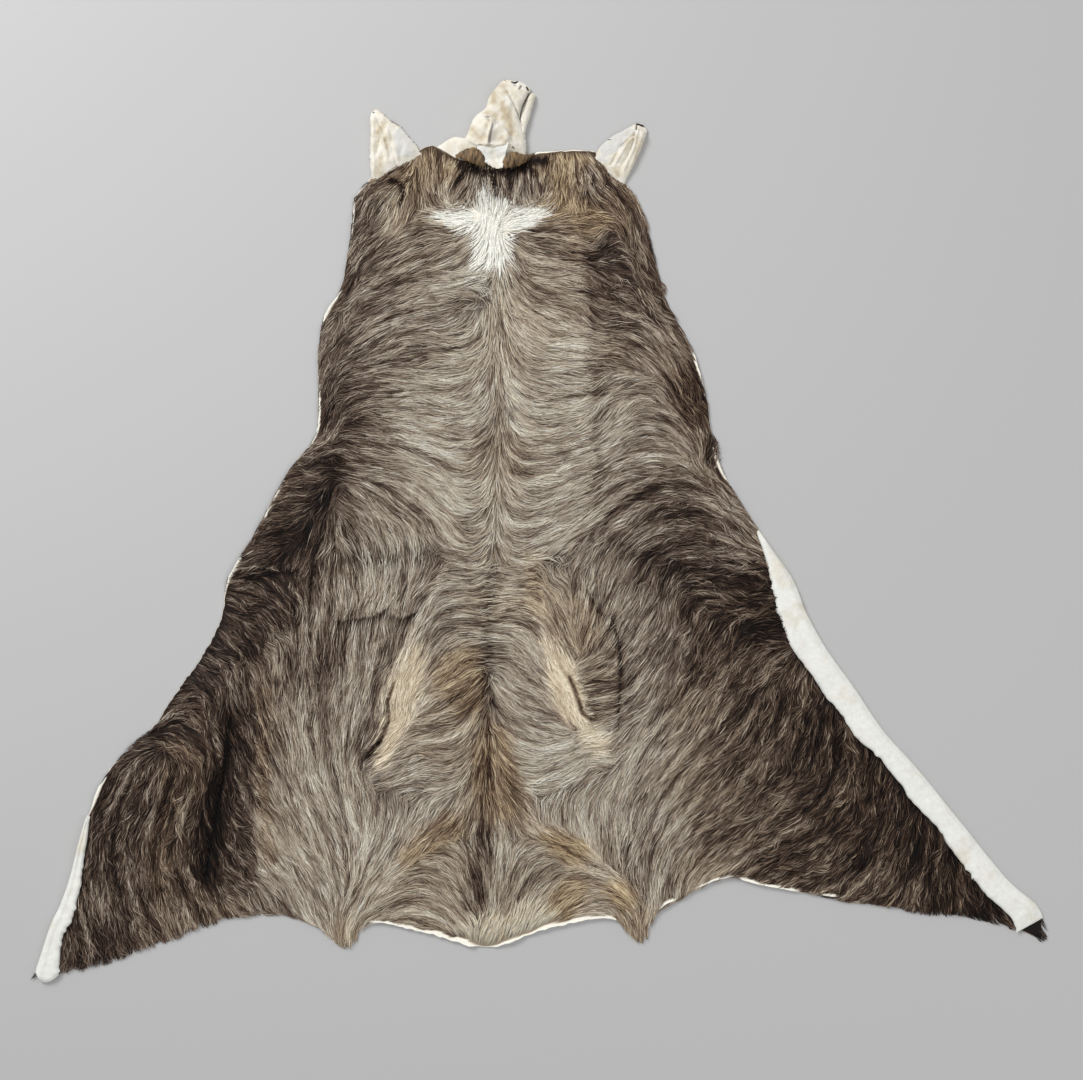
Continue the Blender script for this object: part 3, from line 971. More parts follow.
# How the coat lies. Each row is a stroke of the comb from one place to another, with the way that
# the hair points at its start and at its end, in degrees: 0 towards the right wing, 90 to the head
Comb = namedtuple("Comb", "place x0 y0 at_start x1 y1 at_end")
COMBED = [
    Comb("left roll, top", -225, 590, 215, -185, 600, 275),
    Comb("left roll, below", -190, 575, 268, -160, 552, 300),
    Comb("collar, left", -130, 568, 232, -105, 585, 245),
    Comb("collar, throat", -85, 575, 268, -60, 580, 280),
    Comb("collar, beside throat", -30, 575, 262, -10, 560, 300),
    Comb("collar, right", 25, 590, 275, 30, 555, 262),
    Comb("neck edge, corner", -255, 560, 225, -285, 530, 245),
    Comb("neck edge, upper", -300, 480, 240, -342, 300, 236),
    Comb("neck edge, lower", -342, 300, 236, -338, 190, 246),
    Comb("left roll, foot", -225, 545, 250, -250, 500, 228),
    Comb("left neck 1", -260, 460, 218, -215, 480, 205),
    Comb("left neck 2", -250, 410, 205, -190, 440, 190),
    Comb("left neck 3", -280, 360, 212, -150, 380, 184),
    Comb("left neck 4", -300, 310, 214, -160, 310, 180),
    Comb("left neck 5", -300, 240, 187, -180, 240, 172),
    Comb("left neck 6", -290, 180, 188, -180, 170, 158),
    Comb("left neck 7", -310, 110, 168, -150, 115, 150),
    Comb("left neck 8", -310, 40, 150, -140, 55, 138),
    Comb("left shoulder, top", -180, 5, 118, -130, 10, 130),
    Comb("left shoulder", -210, -20, 98, -310, -15, 118),
    Comb("throat, left arm", -160, 522, 172, -115, 520, 182),
    Comb("throat, top", -95, 545, 112, -70, 548, 84),
    Comb("throat, body", -70, 515, 252, -70, 445, 265),
    Comb("throat, right arm", -40, 515, 10, 0, 528, 22),
    Comb("throat, left side", -100, 480, 215, -95, 445, 228),
    Comb("throat, right side", -45, 480, 320, -50, 445, 310),
    Comb("whorl, left", -112, 408, 190, -95, 390, 150),
    Comb("whorl, right", -88, 416, 20, -74, 400, 285),
    Comb("right roll, left", 60, 590, 275, 62, 545, 268),
    Comb("right roll, top", 90, 600, 300, 100, 560, 300),
    Comb("right neck edge, top", 120, 545, 312, 160, 495, 283),
    Comb("below right roll", 75, 515, 12, 100, 520, 340),
    Comb("beside throat", 20, 545, 40, 40, 500, 352),
    Comb("right neck 1", 60, 480, 350, 0, 490, 0),
    Comb("right neck 2", 60, 440, 345, 10, 440, 352),
    Comb("right neck 3", 100, 480, 50, 110, 455, 20),
    Comb("right neck edge 3", 135, 460, 330, 165, 450, 290),
    Comb("right neck 4", 100, 420, 310, 130, 420, 345),
    Comb("right neck edge 4", 130, 420, 345, 180, 405, 298),
    Comb("right neck 5", 50, 380, 345, 75, 370, 312),
    Comb("right neck edge 5", 110, 380, 350, 190, 375, 302),
    Comb("right neck 6", 30, 330, 352, 50, 285, 355),
    Comb("right neck edge 6", 120, 345, 0, 205, 330, 304),
    Comb("right neck edge 7", 110, 300, 352, 215, 285, 302),
    Comb("right neck 8", 60, 230, 5, 40, 180, 10),
    Comb("beyond the long tuck 1", 105, 240, 28, 170, 245, 355),
    Comb("right edge 1", 205, 235, 306, 240, 240, 296),
    Comb("beyond the long tuck 2", 105, 200, 45, 140, 195, 42),
    Comb("right edge 2", 175, 190, 5, 255, 190, -70),
    Comb("right neck 9", 60, 130, 18, 60, 35, 30),
    Comb("beyond the long tuck 3", 120, 150, 38, 165, 145, 20),
    Comb("right edge 3", 165, 145, 20, 265, 140, -76),
    Comb("right edge tuft", 290, 128, 62, 300, 142, 62),
    Comb("beyond the long tuck 4", 120, 100, 32, 180, 100, 8),
    Comb("right edge 4", 180, 100, 8, 275, 100, -50),
    Comb("beyond the long tuck 5", 120, 60, 35, 205, 72, 14),
    Comb("right edge 5", 205, 75, 10, 295, 60, -46),
    Comb("right shoulder 1", 120, 15, 42, 185, 20, 25),
    Comb("right shoulder 2", 185, 20, 25, 335, 5, -44),
    Comb("right shoulder 3", 150, -12, 38, 240, -30, 4),
    Comb("right shoulder 4", 240, -30, 4, 380, -60, -24),
    Comb("right shoulder 5", 270, -78, 356, 310, -110, 352),
    Comb("right shoulder edge", 350, -120, 4, 390, -165, -10),
    Comb("meeting line", 100, -38, 245, 215, -70, 248),
    Comb("right flank 1", 75, -85, 255, 170, -110, 240),
    Comb("right flank 2", 225, -120, 262, 330, -170, 230),
    Comb("right tuck, start", 75, -140, 252, 100, -170, 245),
    Comb("right flank 3", 160, -160, 240, 270, -210, 240),
    Comb("right flank 4", 330, -230, 235, 400, -215, 222),
    Comb("right tuck, pocket", 90, -205, 205, 105, -260, 185),
    Comb("right tuck, foot", 105, -260, 185, 112, -310, 195),
    Comb("right flank 5", 165, -230, 236, 290, -280, 236),
    Comb("right flank 6", 360, -290, 235, 430, -290, 262),
    Comb("right flank, strip 1", 430, -290, 262, 470, -260, 250),
    Comb("right flank 7", 150, -300, 222, 170, -350, 236),
    Comb("right flank 8", 240, -340, 228, 310, -360, 228),
    Comb("right flank 9", 380, -370, 232, 510, -340, 282),
    Comb("right flank 10", 150, -400, 248, 280, -430, 222),
    Comb("right flank 11", 280, -430, 222, 420, -440, 213),
    Comb("right flank, strip 2", 420, -440, 215, 560, -410, 262),
    Comb("right flank 12", 170, -490, 254, 300, -500, 216),
    Comb("right flank 13", 300, -500, 214, 440, -510, 204),
    Comb("right flank, strip 3", 440, -510, 205, 580, -490, 250),
    Comb("right wing", 580, -490, 250, 640, -500, 262),
    Comb("right flank, tail 1", 200, -560, 256, 310, -545, 215),
    Comb("right flank, tail 2", 310, -550, 213, 450, -575, 204),
    Comb("right wing, tail", 530, -580, 222, 680, -580, 268),
    Comb("right wing, tip", 730, -610, 290, 790, -650, 310),
    Comb("mane, inner edge", -330, 60, 250, -395, -50, 255),
    Comb("mane, top", -360, 100, 200, -385, 60, 182),
    Comb("mane 1", -430, 40, 195, -410, 0, 190),
    Comb("mane, outer edge", -455, 0, 200, -480, -60, 188),
    Comb("mane 2", -474, -85, 350, -400, -100, 305),
    Comb("mane 3", -474, -128, 333, -440, -145, 316),
    Comb("mane 4", -500, -170, 328, -470, -195, 310),
    Comb("mane 5", -525, -200, 340, -540, -245, 320),
    Comb("mane 6", -500, -235, 272, -530, -310, 285),
    Comb("mane, arch", -580, -280, 20, -610, -310, 30),
    Comb("mane, arch foot", -565, -310, 330, -600, -345, 330),
    Comb("left wing, shoulder", -650, -345, 205, -665, -365, 218),
    Comb("left wing 1", -620, -390, 250, -640, -420, 246),
    Comb("left flank, mane side", -350, -40, 262, -380, -140, 268),
    Comb("left flank 1", -190, -60, 255, -300, -80, 272),
    Comb("left flank 2", -210, -115, 258, -330, -130, 262),
    Comb("left flank 3", -220, -180, 256, -320, -200, 266),
    Comb("left flank 4", -370, -200, 262, -450, -240, 282),
    Comb("left flank 5", -275, -260, 262, -380, -280, 268),
    Comb("left flank 6", -380, -280, 270, -480, -300, 300),
    Comb("left flank 7", -290, -320, 250, -340, -340, 272),
    Comb("left flank 8", -400, -360, 286, -480, -400, 312),
    Comb("dark trough", -520, -380, 270, -530, -460, 290),
    Comb("left panel", -565, -430, 250, -590, -520, 258),
    Comb("left flank 9", -300, -400, 285, -350, -420, 288),
    Comb("left flank 10", -350, -420, 288, -485, -480, 318),
    Comb("left flank 11", -300, -470, 278, -350, -490, 294),
    Comb("left flank 12", -350, -490, 294, -490, -560, 322),
    Comb("left panel, tail", -545, -540, 300, -570, -600, 296),
    Comb("left flank 13", -300, -540, 272, -390, -590, 302),
    Comb("left leg", -317, -655, 268, -365, -620, 300),
    Comb("left flank, tail", -440, -610, 296, -500, -610, 300),
    Comb("left wing 2", -610, -450, 254, -680, -420, 240),
    Comb("left wing 3", -650, -500, 262, -700, -470, 246),
    Comb("left wing 4", -710, -530, 268, -660, -560, 286),
    Comb("left wing 5", -620, -590, 282, -730, -600, 282),
    Comb("left wing 6", -630, -640, 292, -750, -660, 290),
    Comb("left wing, tip", -700, -690, 284, -800, -715, 240),
    Comb("left armpit, top", -165, -40, 235, -200, -170, 240),
    Comb("left armpit", -225, -230, 245, -210, -290, 250),
    Comb("left armpit, foot", -240, -330, 235, -260, -365, 210),
    Comb("left breast, foot", -200, -350, 205, -160, -400, 190),
    Comb("right armpit, top", 15, -60, 300, 50, -200, 295),
    Comb("right armpit", 40, -260, 290, 70, -300, 300),
    Comb("right armpit, foot", 60, -350, 20, 100, -370, 350),
    Comb("right breast, foot", 70, -400, 40, 20, -390, 20),
    Comb("left leg, top", -240, -400, 190, -200, -410, 195),
    Comb("left leg 1", -230, -440, 290, -260, -470, 262),
    Comb("left leg 2", -190, -440, 240, -215, -480, 248),
    Comb("left leg 3", -120, -455, 222, -200, -524, 219),
    Comb("left leg 4", -250, -525, 238, -300, -635, 246),
    Comb("left leg 5", -240, -570, 222, -275, -620, 216),
    Comb("left fan 1", -140, -520, 150, -210, -570, 203),
    Comb("left fan 2", -140, -560, 142, -225, -605, 194),
    Comb("left fan 3", -140, -610, 140, -235, -635, 186),
    Comb("left fan, middle", -115, -640, 125, -100, -520, 102),
    Comb("right fan, middle", -60, -540, 86, -70, -600, 84),
    Comb("brisket", -80, -650, 60, -30, -640, 70),
    Comb("right fan 1", -20, -605, 58, -30, -560, 64),
    Comb("right fan 2", 15, -570, 40, 15, -615, 46),
    Comb("right fan 3", 55, -572, 14, 55, -605, 24),
    Comb("right fan 4", 95, -572, 344, 95, -605, 2),
    Comb("right fan 5", 130, -600, 332, 165, -645, 285),
    Comb("right leg 1", -10, -530, 30, 25, -520, 348),
    Comb("right leg 2", 0, -482, 328, 60, -525, 330),
    Comb("right leg 3", 120, -572, 318, 155, -600, 300),
    Comb("right leg 4", 40, -440, 262, 70, -475, 282),
    Comb("right leg 5", 85, -430, 238, 110, -470, 268),
    Comb("right leg 6", 130, -510, 276, 180, -560, 262),
    Comb("right leg tuft", 185, -620, 258, 225, -590, 262),
]

# The parting down the throat and breast: headings on its right at four distances from it. The
# left side mirrors them
PARTING_GAPS = (10, 28, 55, 95)
Parting = namedtuple("Parting", "along across at_10 at_28 at_55 at_95")
PARTING = [
    Parting(372, -66, -82, -62, -35, -10),
    Parting(330, -65, -80, -50, -18, 0),
    Parting(270, -64, -78, -45, -12, 0),
    Parting(210, -63, -75, -38, -5, 8),
    Parting(150, -63, -72, -35, 0, 12),
    Parting(90, -64, -70, -30, 5, 20),
    Parting(30, -66, -68, -25, 12, 30),
    Parting(-30, -70, -60, -15, 20, 42),
    Parting(-80, -76, -30, 5, 10, -20),
    Parting(-130, -84, 18, 6, -20, -48),
    Parting(-190, -84, 8, -18, -42, -62),
    Parting(-250, -83, -52, -42, -34, -40),
    Parting(-310, -83, -66, -48, -24, -8),
    Parting(-360, -84, -70, -48, -14, 6),
    Parting(-410, -85, -75, -56, -22, 20),
    Parting(-455, -86, -86, -80, -50, -75),
]
COMB_STEP = 30
comb_marks = []
for row in COMBED:
    turned = (row.at_end - row.at_start + 180) % 360 - 180
    count = 1 + max(1, round(math.hypot(row.x1 - row.x0, row.y1 - row.y0) / COMB_STEP))
    for t in np.linspace(0, 1, count):
        x, y = row.x0 + t * (row.x1 - row.x0), row.y0 + t * (row.y1 - row.y0)
        comb_marks.append((x, y, row.at_start + t * turned))
for row in PARTING:
    for gap, heading in zip(PARTING_GAPS, row[2:]):
        comb_marks.append((row.across + gap, row.along, heading))
        comb_marks.append((row.across - gap, row.along, 180 - heading))
axis_x, axis_y = np.zeros_like(field_x), np.zeros_like(field_x)
point_x, point_y = np.zeros_like(field_x), np.zeros_like(field_x)
for mark_x, mark_y, heading in comb_marks:
    heading = math.radians(heading)
    pull = 1.0 / ((field_x - mark_x) ** 2 + (field_y - mark_y) ** 2 + 90.0) ** 1.7
    axis_x += pull * math.cos(2 * heading)
    axis_y += pull * math.sin(2 * heading)
    point_x += pull * math.cos(heading)
    point_y += pull * math.sin(heading)
flow_axis = np.arctan2(axis_y, axis_x) / 2
size = np.hypot(point_x, point_y) + 1e-12
flow_x, flow_y = point_x / size, point_y / size
axis_cos, axis_sin = np.cos(2 * flow_axis), np.sin(2 * flow_axis)


def heading_at(x, y, astray):
    """Heading of the hair at places. Each hair takes its side from a place a little astray."""
    axis = np.arctan2(at_places(axis_sin, x, y), at_places(axis_cos, x, y)) / 2
    x, y = x + astray[0], y + astray[1]
    side = np.cos(axis) * at_places(flow_x, x, y) + np.sin(axis) * at_places(flow_y, x, y)
    return np.where(side > 0, axis, axis + math.pi)


# How far hair stands out past the cut edge, and how long it is, in stretches of the rim
Fringe = namedtuple("Fringe", "place across along reach overhang longer")
FRINGES = [
    Fringe("left wing", -720, -700, 55, 18, 1.0),
    Fringe("left wing, inner end", -620, -660, 50, 18, 1.0),
    Fringe("left flank", -520, -630, 50, 15, 1.0),
    Fringe("left hollow", -430, -625, 45, 9, 1.0),
    Fringe("left leg tuft", -317, -667, 20, 28, 1.35),
    Fringe("right leg tuft", 170, -662, 20, 26, 1.35),
    Fringe("behind right leg tuft", 235, -600, 22, 7, 1.0),
    Fringe("right hollow", 280, -590, 16, 9, 1.0),
    Fringe("right flank", 540, -600, 60, 8, 1.0),
    Fringe("right wing, middle", 640, -620, 50, 12, 1.0),
    Fringe("right wing, outer end", 740, -635, 40, 11, 1.0),
    Fringe("right shoulder tuft", 298, 138, 13, 22, 1.1),
    Fringe("right neck, upper", 206, 402, 12, 12, 1.0),
    Fringe("right neck, middle", 232, 345, 14, 9, 1.0),
    Fringe("right neck, top", 185, 470, 30, 5, 1.0),
    Fringe("left wing, shoulder", -660, -345, 24, 9, 1.0),
    Fringe("left tip", -828, -730, 20, 22, 1.0),
    Fringe("over the left ear", -240, 612, 28, 8, 1.0),
    Fringe("over the right ear", 128, 592, 22, 8, 1.0),
    Fringe("right tip", 834, -650, 20, 16, 1.0),
]
overhang = np.full(field_x.shape, 1.5)
longer = np.ones(field_x.shape)
for row in FRINGES:
    share = nearness(row)
    overhang = np.maximum(overhang, row.overhang * np.minimum(1.25 * share, 1.0))
    longer += (row.longer - 1.0) * share

# How far inside a turned strip each place of the coat is, as no hair grows there
hem_cover = np.full(field_x.shape, -1e9)
for edge, hems, inward in ((RIGHT_EDGE, RIGHT_HEM, 1), (LEFT_EDGE, LEFT_HEM, -1)):
    fold, side, width = hem_lines(edge, hems, inward, 60)
    middle, half = fold + side * width[:, None] / 2, width / 2
    strokes = [Stroke(*a, *b, ra, rb) for a, b, ra, rb in zip(middle, middle[1:], half, half[1:])]
    hem_cover = np.maximum(hem_cover, inside_strokes(strokes, field_x, field_y))


def streaks(seed, cell, reach):
    """Unevenness drawn out along the hair: noise with cells of a given size, averaged downstream."""
    noise = np.random.default_rng(seed).normal(0, 1, (int(1600 / cell) + 3, int(1900 / cell) + 3))
    noise = between_cells(noise, (field_x - grid_x[0]) / cell, (field_y - grid_y[0]) / cell)
    total = np.array(noise)
    for way in (-1, 1):
        x, y = field_x, field_y
        for _ in range(10):
            heading = heading_at(x, y, (0, 0))
            x = x + way * reach / 10 * np.cos(heading)
            y = y + way * reach / 10 * np.sin(heading)
            total += at_places(noise, x, y)
    return (total - total.mean()) / total.std()


fine_streaks = streaks(71, 2.5, 26.0)
broad_streaks = streaks(72, 9.0, 48.0)

LOCK_SPACING = 10.0
lock_rows, lock_columns = int(1500 / LOCK_SPACING) + 3, int(1780 / LOCK_SPACING) + 3
lock_jitter = rng.uniform(-0.42, 0.42, (lock_rows, lock_columns, 2))
lock_turn = rng.normal(0, 1, (lock_rows, lock_columns))
lock_light = rng.normal(0, 1, (lock_rows, lock_columns))


def nearest_lock(x, y):
    """The lock that each hair belongs to: its middle, and its row and column."""
    column = ((x - grid_x[0]) / LOCK_SPACING).astype(int)
    row = ((y - grid_y[0]) / LOCK_SPACING).astype(int)
    best = np.full_like(x, 1e9)
    found = [np.zeros_like(x), np.zeros_like(x), np.zeros_like(row), np.zeros_like(row)]
    for dr in (-1, 0, 1):
        for dc in (-1, 0, 1):
            r = np.clip(row + dr, 0, lock_rows - 1)
            c = np.clip(column + dc, 0, lock_columns - 1)
            mx = grid_x[0] + (c + 0.5 + lock_jitter[r, c, 0]) * LOCK_SPACING
            my = grid_y[0] + (r + 0.5 + lock_jitter[r, c, 1]) * LOCK_SPACING
            gap = (x - mx) ** 2 + (y - my) ** 2
            closer = gap < best
            best = np.where(closer, gap, best)
            found = [np.where(closer, new, old) for new, old in zip((mx, my, r, c), found)]
    return found


def follow(x, y, length, turn, astray, stations):
    """Paths that start at x, y and follow the comb, each turned a little more at every step."""
    path = [(x, y)]
    step = length / (stations - 1)
    for k in range(1, stations):
        heading = heading_at(x, y, astray) + turn * (0.4 + 0.5 * k)
        x, y = x + step * np.cos(heading), y + step * np.sin(heading)
        path.append((x, y))
    return np.array(path).transpose(1, 2, 0)


def shorten(path, kept):
    """The same paths, cut to a share of their length: hair ends where the skin dips into a crease."""
    last = path.shape[2] - 1
    steps = np.linspace(0, last, last + 1) * kept[:, None]
    i = np.minimum(steps.astype(int), last - 1)
    rows = np.arange(len(kept))[:, None]
    return path[:, rows, i] * (1 - steps + i) + path[:, rows, i + 1] * (steps - i)


def scatter_roots(spacing, margin):
    """Roots on a shaken grid, wherever the coat grows."""
    x, y = np.meshgrid(np.arange(*ROOTS_ACROSS, spacing), np.arange(*ROOTS_ALONG, spacing))
    x, y = x.ravel(), y.ravel()
    x = x + rng.uniform(-0.5, 0.5, len(x)) * spacing
    y = y + rng.uniform(-0.5, 0.5, len(y)) * spacing
    inner = at_places(depth, x, y) - at_places(bare, x, y) * rng.uniform(0.7, 1.3, len(x)) > margin
    clear = at_places(hem_cover, x, y) < rng.uniform(-2, 5, len(x))
    keep = inner & clear
    return x[keep], y[keep]


def comb_hairs(x, y, lock, full_length, short):
    """The way of each hair over the cape, drawn to its lock, cut at creases and held near the rim."""
    count = len(x)
    lock_x, lock_y, row, column = lock
    astray = rng.normal(0, LOOKS_ASTRAY, (2, count))
    shaggy = smooth((0.42 - at_places(light, x, y)) / 0.14)
    wild = np.radians(6 + 9 * shaggy)
    drift = np.radians(6) * ripple(x, y, 60, 5) + wild * ripple(x, y, 22, 6)
    length = rng.uniform(0.7, 1.2, count) * full_length * short * at_places(longer, x, y)
    near_collar = smooth((y - 520) / 80)
    length *= (1 - 0.35 * near_collar) * (1 - 0.2 * shaggy)
    own_turn = drift + np.radians(rng.normal(0, STRAY_DEGREES, count)) * (1 + 0.8 * shaggy)
    own = follow(x, y, length, own_turn, astray, STATIONS)
    shared_turn = drift + wild * lock_turn[row, column]
    shared = follow(lock_x, lock_y, length, shared_turn, astray, STATIONS)
    start = np.stack([x - lock_x, y - lock_y])[..., None]
    together = np.linspace(0, 1, STATIONS) ** 1.3 * CLUMPING
    path = own * (1 - together) + (shared + start * 0.3) * together
    path[..., 0] = (x, y)
    kept = np.ones(count)
    for reach in KEPT_SHARES:
        ahead = shorten(path, np.full(count, reach))[..., -1]
        kept = np.where(at_places(crease_dark, *ahead) > HAIR_STOPS, reach, kept)
    path = shorten(path, kept)

    out = -at_places(depth, path[0], path[1])
    tuft = 0.25 + 0.75 * np.abs(np.sin(3.1 * lock_light[row, column]))
    limit = at_places(overhang, path[0], path[1]) * (tuft * rng.uniform(0.6, 1.0, count))[:, None]
    excess = np.maximum(out - limit, 0)
    path[0] -= excess * at_places(outward_x, path[0], path[1])
    path[1] -= excess * at_places(outward_y, path[0], path[1])
    return path


def raise_hairs(x, y, path, lock, layer, short):
    """Places along each hair: it rises from the skin and bends down again at its tip."""
    row, column = lock[2:]
    ground = at_places(skin_top, path[0], path[1])
    lift = rng.uniform(layer.lowest, layer.highest, len(x))
    lift = lift + 1.2 * at_places(broad_streaks, x, y) + 0.8 * lock_light[row, column]
    lift = np.maximum(lift, 0.8) * (0.25 + 0.75 * short)
    lift *= 0.35 + 0.65 * smooth(at_places(depth, x, y) / 25)
    rise = np.interp(np.linspace(0, 1, STATIONS), [0, 0.3, 0.65, 1.0], [0.0, 0.75, 1.0, 0.75])
    height = ground + lift[:, None] * rise + 0.2
    under = smooth((at_places(hem_cover, path[0], path[1]) + 3) / 4)
    height = height * (1 - under) + np.minimum(height, 5.5) * under
    return np.stack([path[0], path[1], height], -1)


def ribbon_points(points, width, short):
    """Corners of each ribbon, two at every station and one at the tip, rolled a little."""
    count = len(points)
    along = np.gradient(points, axis=1)
    along /= np.linalg.norm(along, axis=2, keepdims=True) + 1e-9
    across = np.stack([-along[..., 1], along[..., 0], np.zeros_like(along[..., 0])], -1)
    across /= np.linalg.norm(across, axis=2, keepdims=True) + 1e-9
    up = np.cross(along, across)
    roll = np.radians(rng.uniform(-ROLL_DEGREES, ROLL_DEGREES, count))[:, None, None]
    across = across * np.cos(roll) + up * np.sin(roll)
    taper = np.interp(np.linspace(0, 1, STATIONS), [0, 0.5, 1.0], [0.75, 1.0, 0.5])
    narrow = rng.uniform(0.7, 1.2, count) * (0.6 + 0.4 * short)
    half = width * narrow[:, None, None] * taper[None, :, None] / 2
    left, right = points - across * half, points + across * half
    sides = np.stack([left, right], 2)[:, : STATIONS - 1].reshape(count, -1, 3)
    return np.concatenate([sides, points[:, -1:]], 1)


def ribbon_object(name, places):
    """One mesh of many ribbons, each a row of quads that ends in a triangle."""
    count, per, _ = places.shape
    first = (np.arange(count) * per)[:, None]
    corner = np.array([0, 1, 3, 2])
    quads = np.concatenate([first + 2 * k + corner for k in range(STATIONS - 2)])
    tips = first + [per - 3, per - 2, per - 1]
    sizes = np.repeat([4, 3], [len(quads), len(tips)])
    mesh = bpy.data.meshes.new(name)
    mesh.vertices.add(count * per)
    mesh.vertices.foreach_set("co", (places * MM).astype(np.float32).ravel())
    mesh.loops.add(int(sizes.sum()))
    corners = np.concatenate([quads.ravel(), tips.ravel()])
    mesh.loops.foreach_set("vertex_index", corners.astype(np.int32))
    mesh.polygons.add(len(sizes))
    mesh.polygons.foreach_set("loop_start", (np.cumsum(sizes) - sizes).astype(np.int32))
    mesh.update(calc_edges=True)
    mesh.validate()
    mesh.shade_smooth()
    mesh.materials.append(hair_finish)
    made = bpy.data.objects.new(name, mesh)
    bpy.context.scene.collection.objects.link(made)
    return made


def colour_hairs(made, path, places, lock, pale_share):
    """Light, dark and golden hairs from the shades around them, with the white and cream marks."""
    count, per, _ = places.shape
    row, column = lock[2:]
    x, y = path[:, :, STATIONS // 2]
    around = at_places(light, x, y)
    tone = around + 0.03 * lock_light[row, column] + rng.normal(0, 0.03, count)
    tone += 0.022 + 0.035 * smooth((tone - 0.36) / 0.16)
    tone += 0.065 * at_places(fine_streaks, x, y) + 0.05 * at_places(broad_streaks, x, y)
    pick = rng.uniform(0, 1, count)
    tone += np.where(pick < pale_share, rng.uniform(0.06, 0.20, count), 0)
    tone -= np.where(pick > 0.74, rng.uniform(0.06, 0.18, count), 0)
    heat = at_places(warm, x, y) + rng.normal(0.14, 0.12, count)
    ragged = rng.normal(0, 4.0, count)
    white = smooth((inside_strokes(WHITE, x, y) + ragged) / 4 + 0.5)
    whorl = smooth((inside_strokes(WHORL, x, y) + ragged) / 5 + 0.5) * 0.8
    creamy = smooth((inside_strokes(CREAM, x, y) + 1.6 * ragged) / 12 + 0.5)
    tone = tone * (1 - creamy) + (0.78 + 0.8 * (tone - around)) * creamy
    heat = heat * (1 - creamy) + 0.55 * creamy
    for mask, pale in ((white, 0.97), (whorl, 0.86)):
        tone = tone * (1 - mask) + (pale + rng.normal(0, 0.03, count)) * mask
        heat = heat * (1 - mask) + 0.02 * mask
    tone = tone[:, None] - at_places(crease_dark, places[..., 0], places[..., 1])
    share = np.concatenate([np.repeat(np.linspace(0, 1, STATIONS)[:-1], 2), [1.0]])
    share = np.broadcast_to(share, (count, per))
    pale_root = np.maximum(white, 0.85 * creamy)[:, None]
    share = share * (1 - pale_root) + np.maximum(share, 0.75) * pale_root
    give_coat_colour(made, tone, np.repeat(heat[:, None], per, 1), share)


def chart_hairs(made, count, per):
    """A flat map with a cell of its own for each ribbon, through which its colours can be baked."""
    cells = math.ceil(math.sqrt(count))
    corner = np.zeros((count, per, 2))
    steps = np.linspace(0.12, 0.88, STATIONS)
    for k in range(STATIONS - 1):
        corner[:, 2 * k] = (0.2, steps[k])
        corner[:, 2 * k + 1] = (0.8, steps[k])
    corner[:, -1] = (0.5, 0.88)
    cell_at = np.stack([np.arange(count) % cells, np.arange(count) // cells], 1)
    flat = ((corner + cell_at[:, None]) / cells).reshape(-1, 2)
    index = np.zeros(len(made.data.loops), dtype=np.int32)
    made.data.loops.foreach_get("vertex_index", index)
    chart = made.data.uv_layers.new(name="OFBake")
    chart.data.foreach_set("uv", flat[index].astype(np.float32).ravel())


def make_coat(name, x, y, layer):
    """One piece of the coat: a ribbon for each root."""
    lock = nearest_lock(x, y)
    short = 1 - 0.5 * smooth((inside_strokes(CREAM, x, y) + 2) / 14)
    path = comb_hairs(x, y, lock, layer.length, short)
    points = raise_hairs(x, y, path, lock, layer, short)
    places = ribbon_points(points, layer.width, short)
    made = ribbon_object(name, places)
    colour_hairs(made, path, places, lock, layer.pale_share)
    chart_hairs(made, len(x), places.shape[1])
    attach(made, "root")
    return made


for layer in LAYERS:
    root_x, root_y = scatter_roots(layer.spacing, layer.margin)
    from_left = np.array_split(np.argsort(root_x), len(layer.pieces))
    for name, chosen in zip(layer.pieces, from_left):
        make_coat(name, root_x[chosen], root_y[chosen], layer)


# Collar: where the neck was cut, the haired skin rolls over towards the throat. Its brown edge
# stands up in two rolls, one on each side of the lip flap
Roll = namedtuple("Roll", "across along radius")
LEFT_COLLAR = [
    Roll(-136, 619, 3),
    Roll(-126, 622, 6),
    Roll(-115, 622, 10),
    Roll(-102, 619, 12),
    Roll(-93, 612, 9),
    Roll(-86, 604, 4),
]
RIGHT_COLLAR = [
    Roll(-58, 602, 4),
    Roll(-50, 609, 8),
    Roll(-40, 614, 11),
    Roll(-31, 615, 10),
    Roll(-23, 617, 6),
    Roll(-14, 621, 2.5),
    Roll(-4, 626, 1.5),
]
collar_finish, nodes, links, shader = new_material("rolled_edge", 0.7, 0.5)
place = nodes.new("ShaderNodeTexCoord")
drawn_out = nodes.new("ShaderNodeMapping")
drawn_out.inputs["Scale"].default_value = (1.6, 0.35, 0.5)
links.new(place.outputs["Object"], drawn_out.inputs["Vector"])
streak = fine_grain(nodes, links, shader, drawn_out.outputs["Vector"], 160.0, 5.0, 0.5, 0.6, 0.0015)
tan = ramp(nodes, links, streak, ((0.32, (44, 30, 18)), (0.70, (150, 122, 86))))
links.new(tan, shader.inputs["Base Color"])


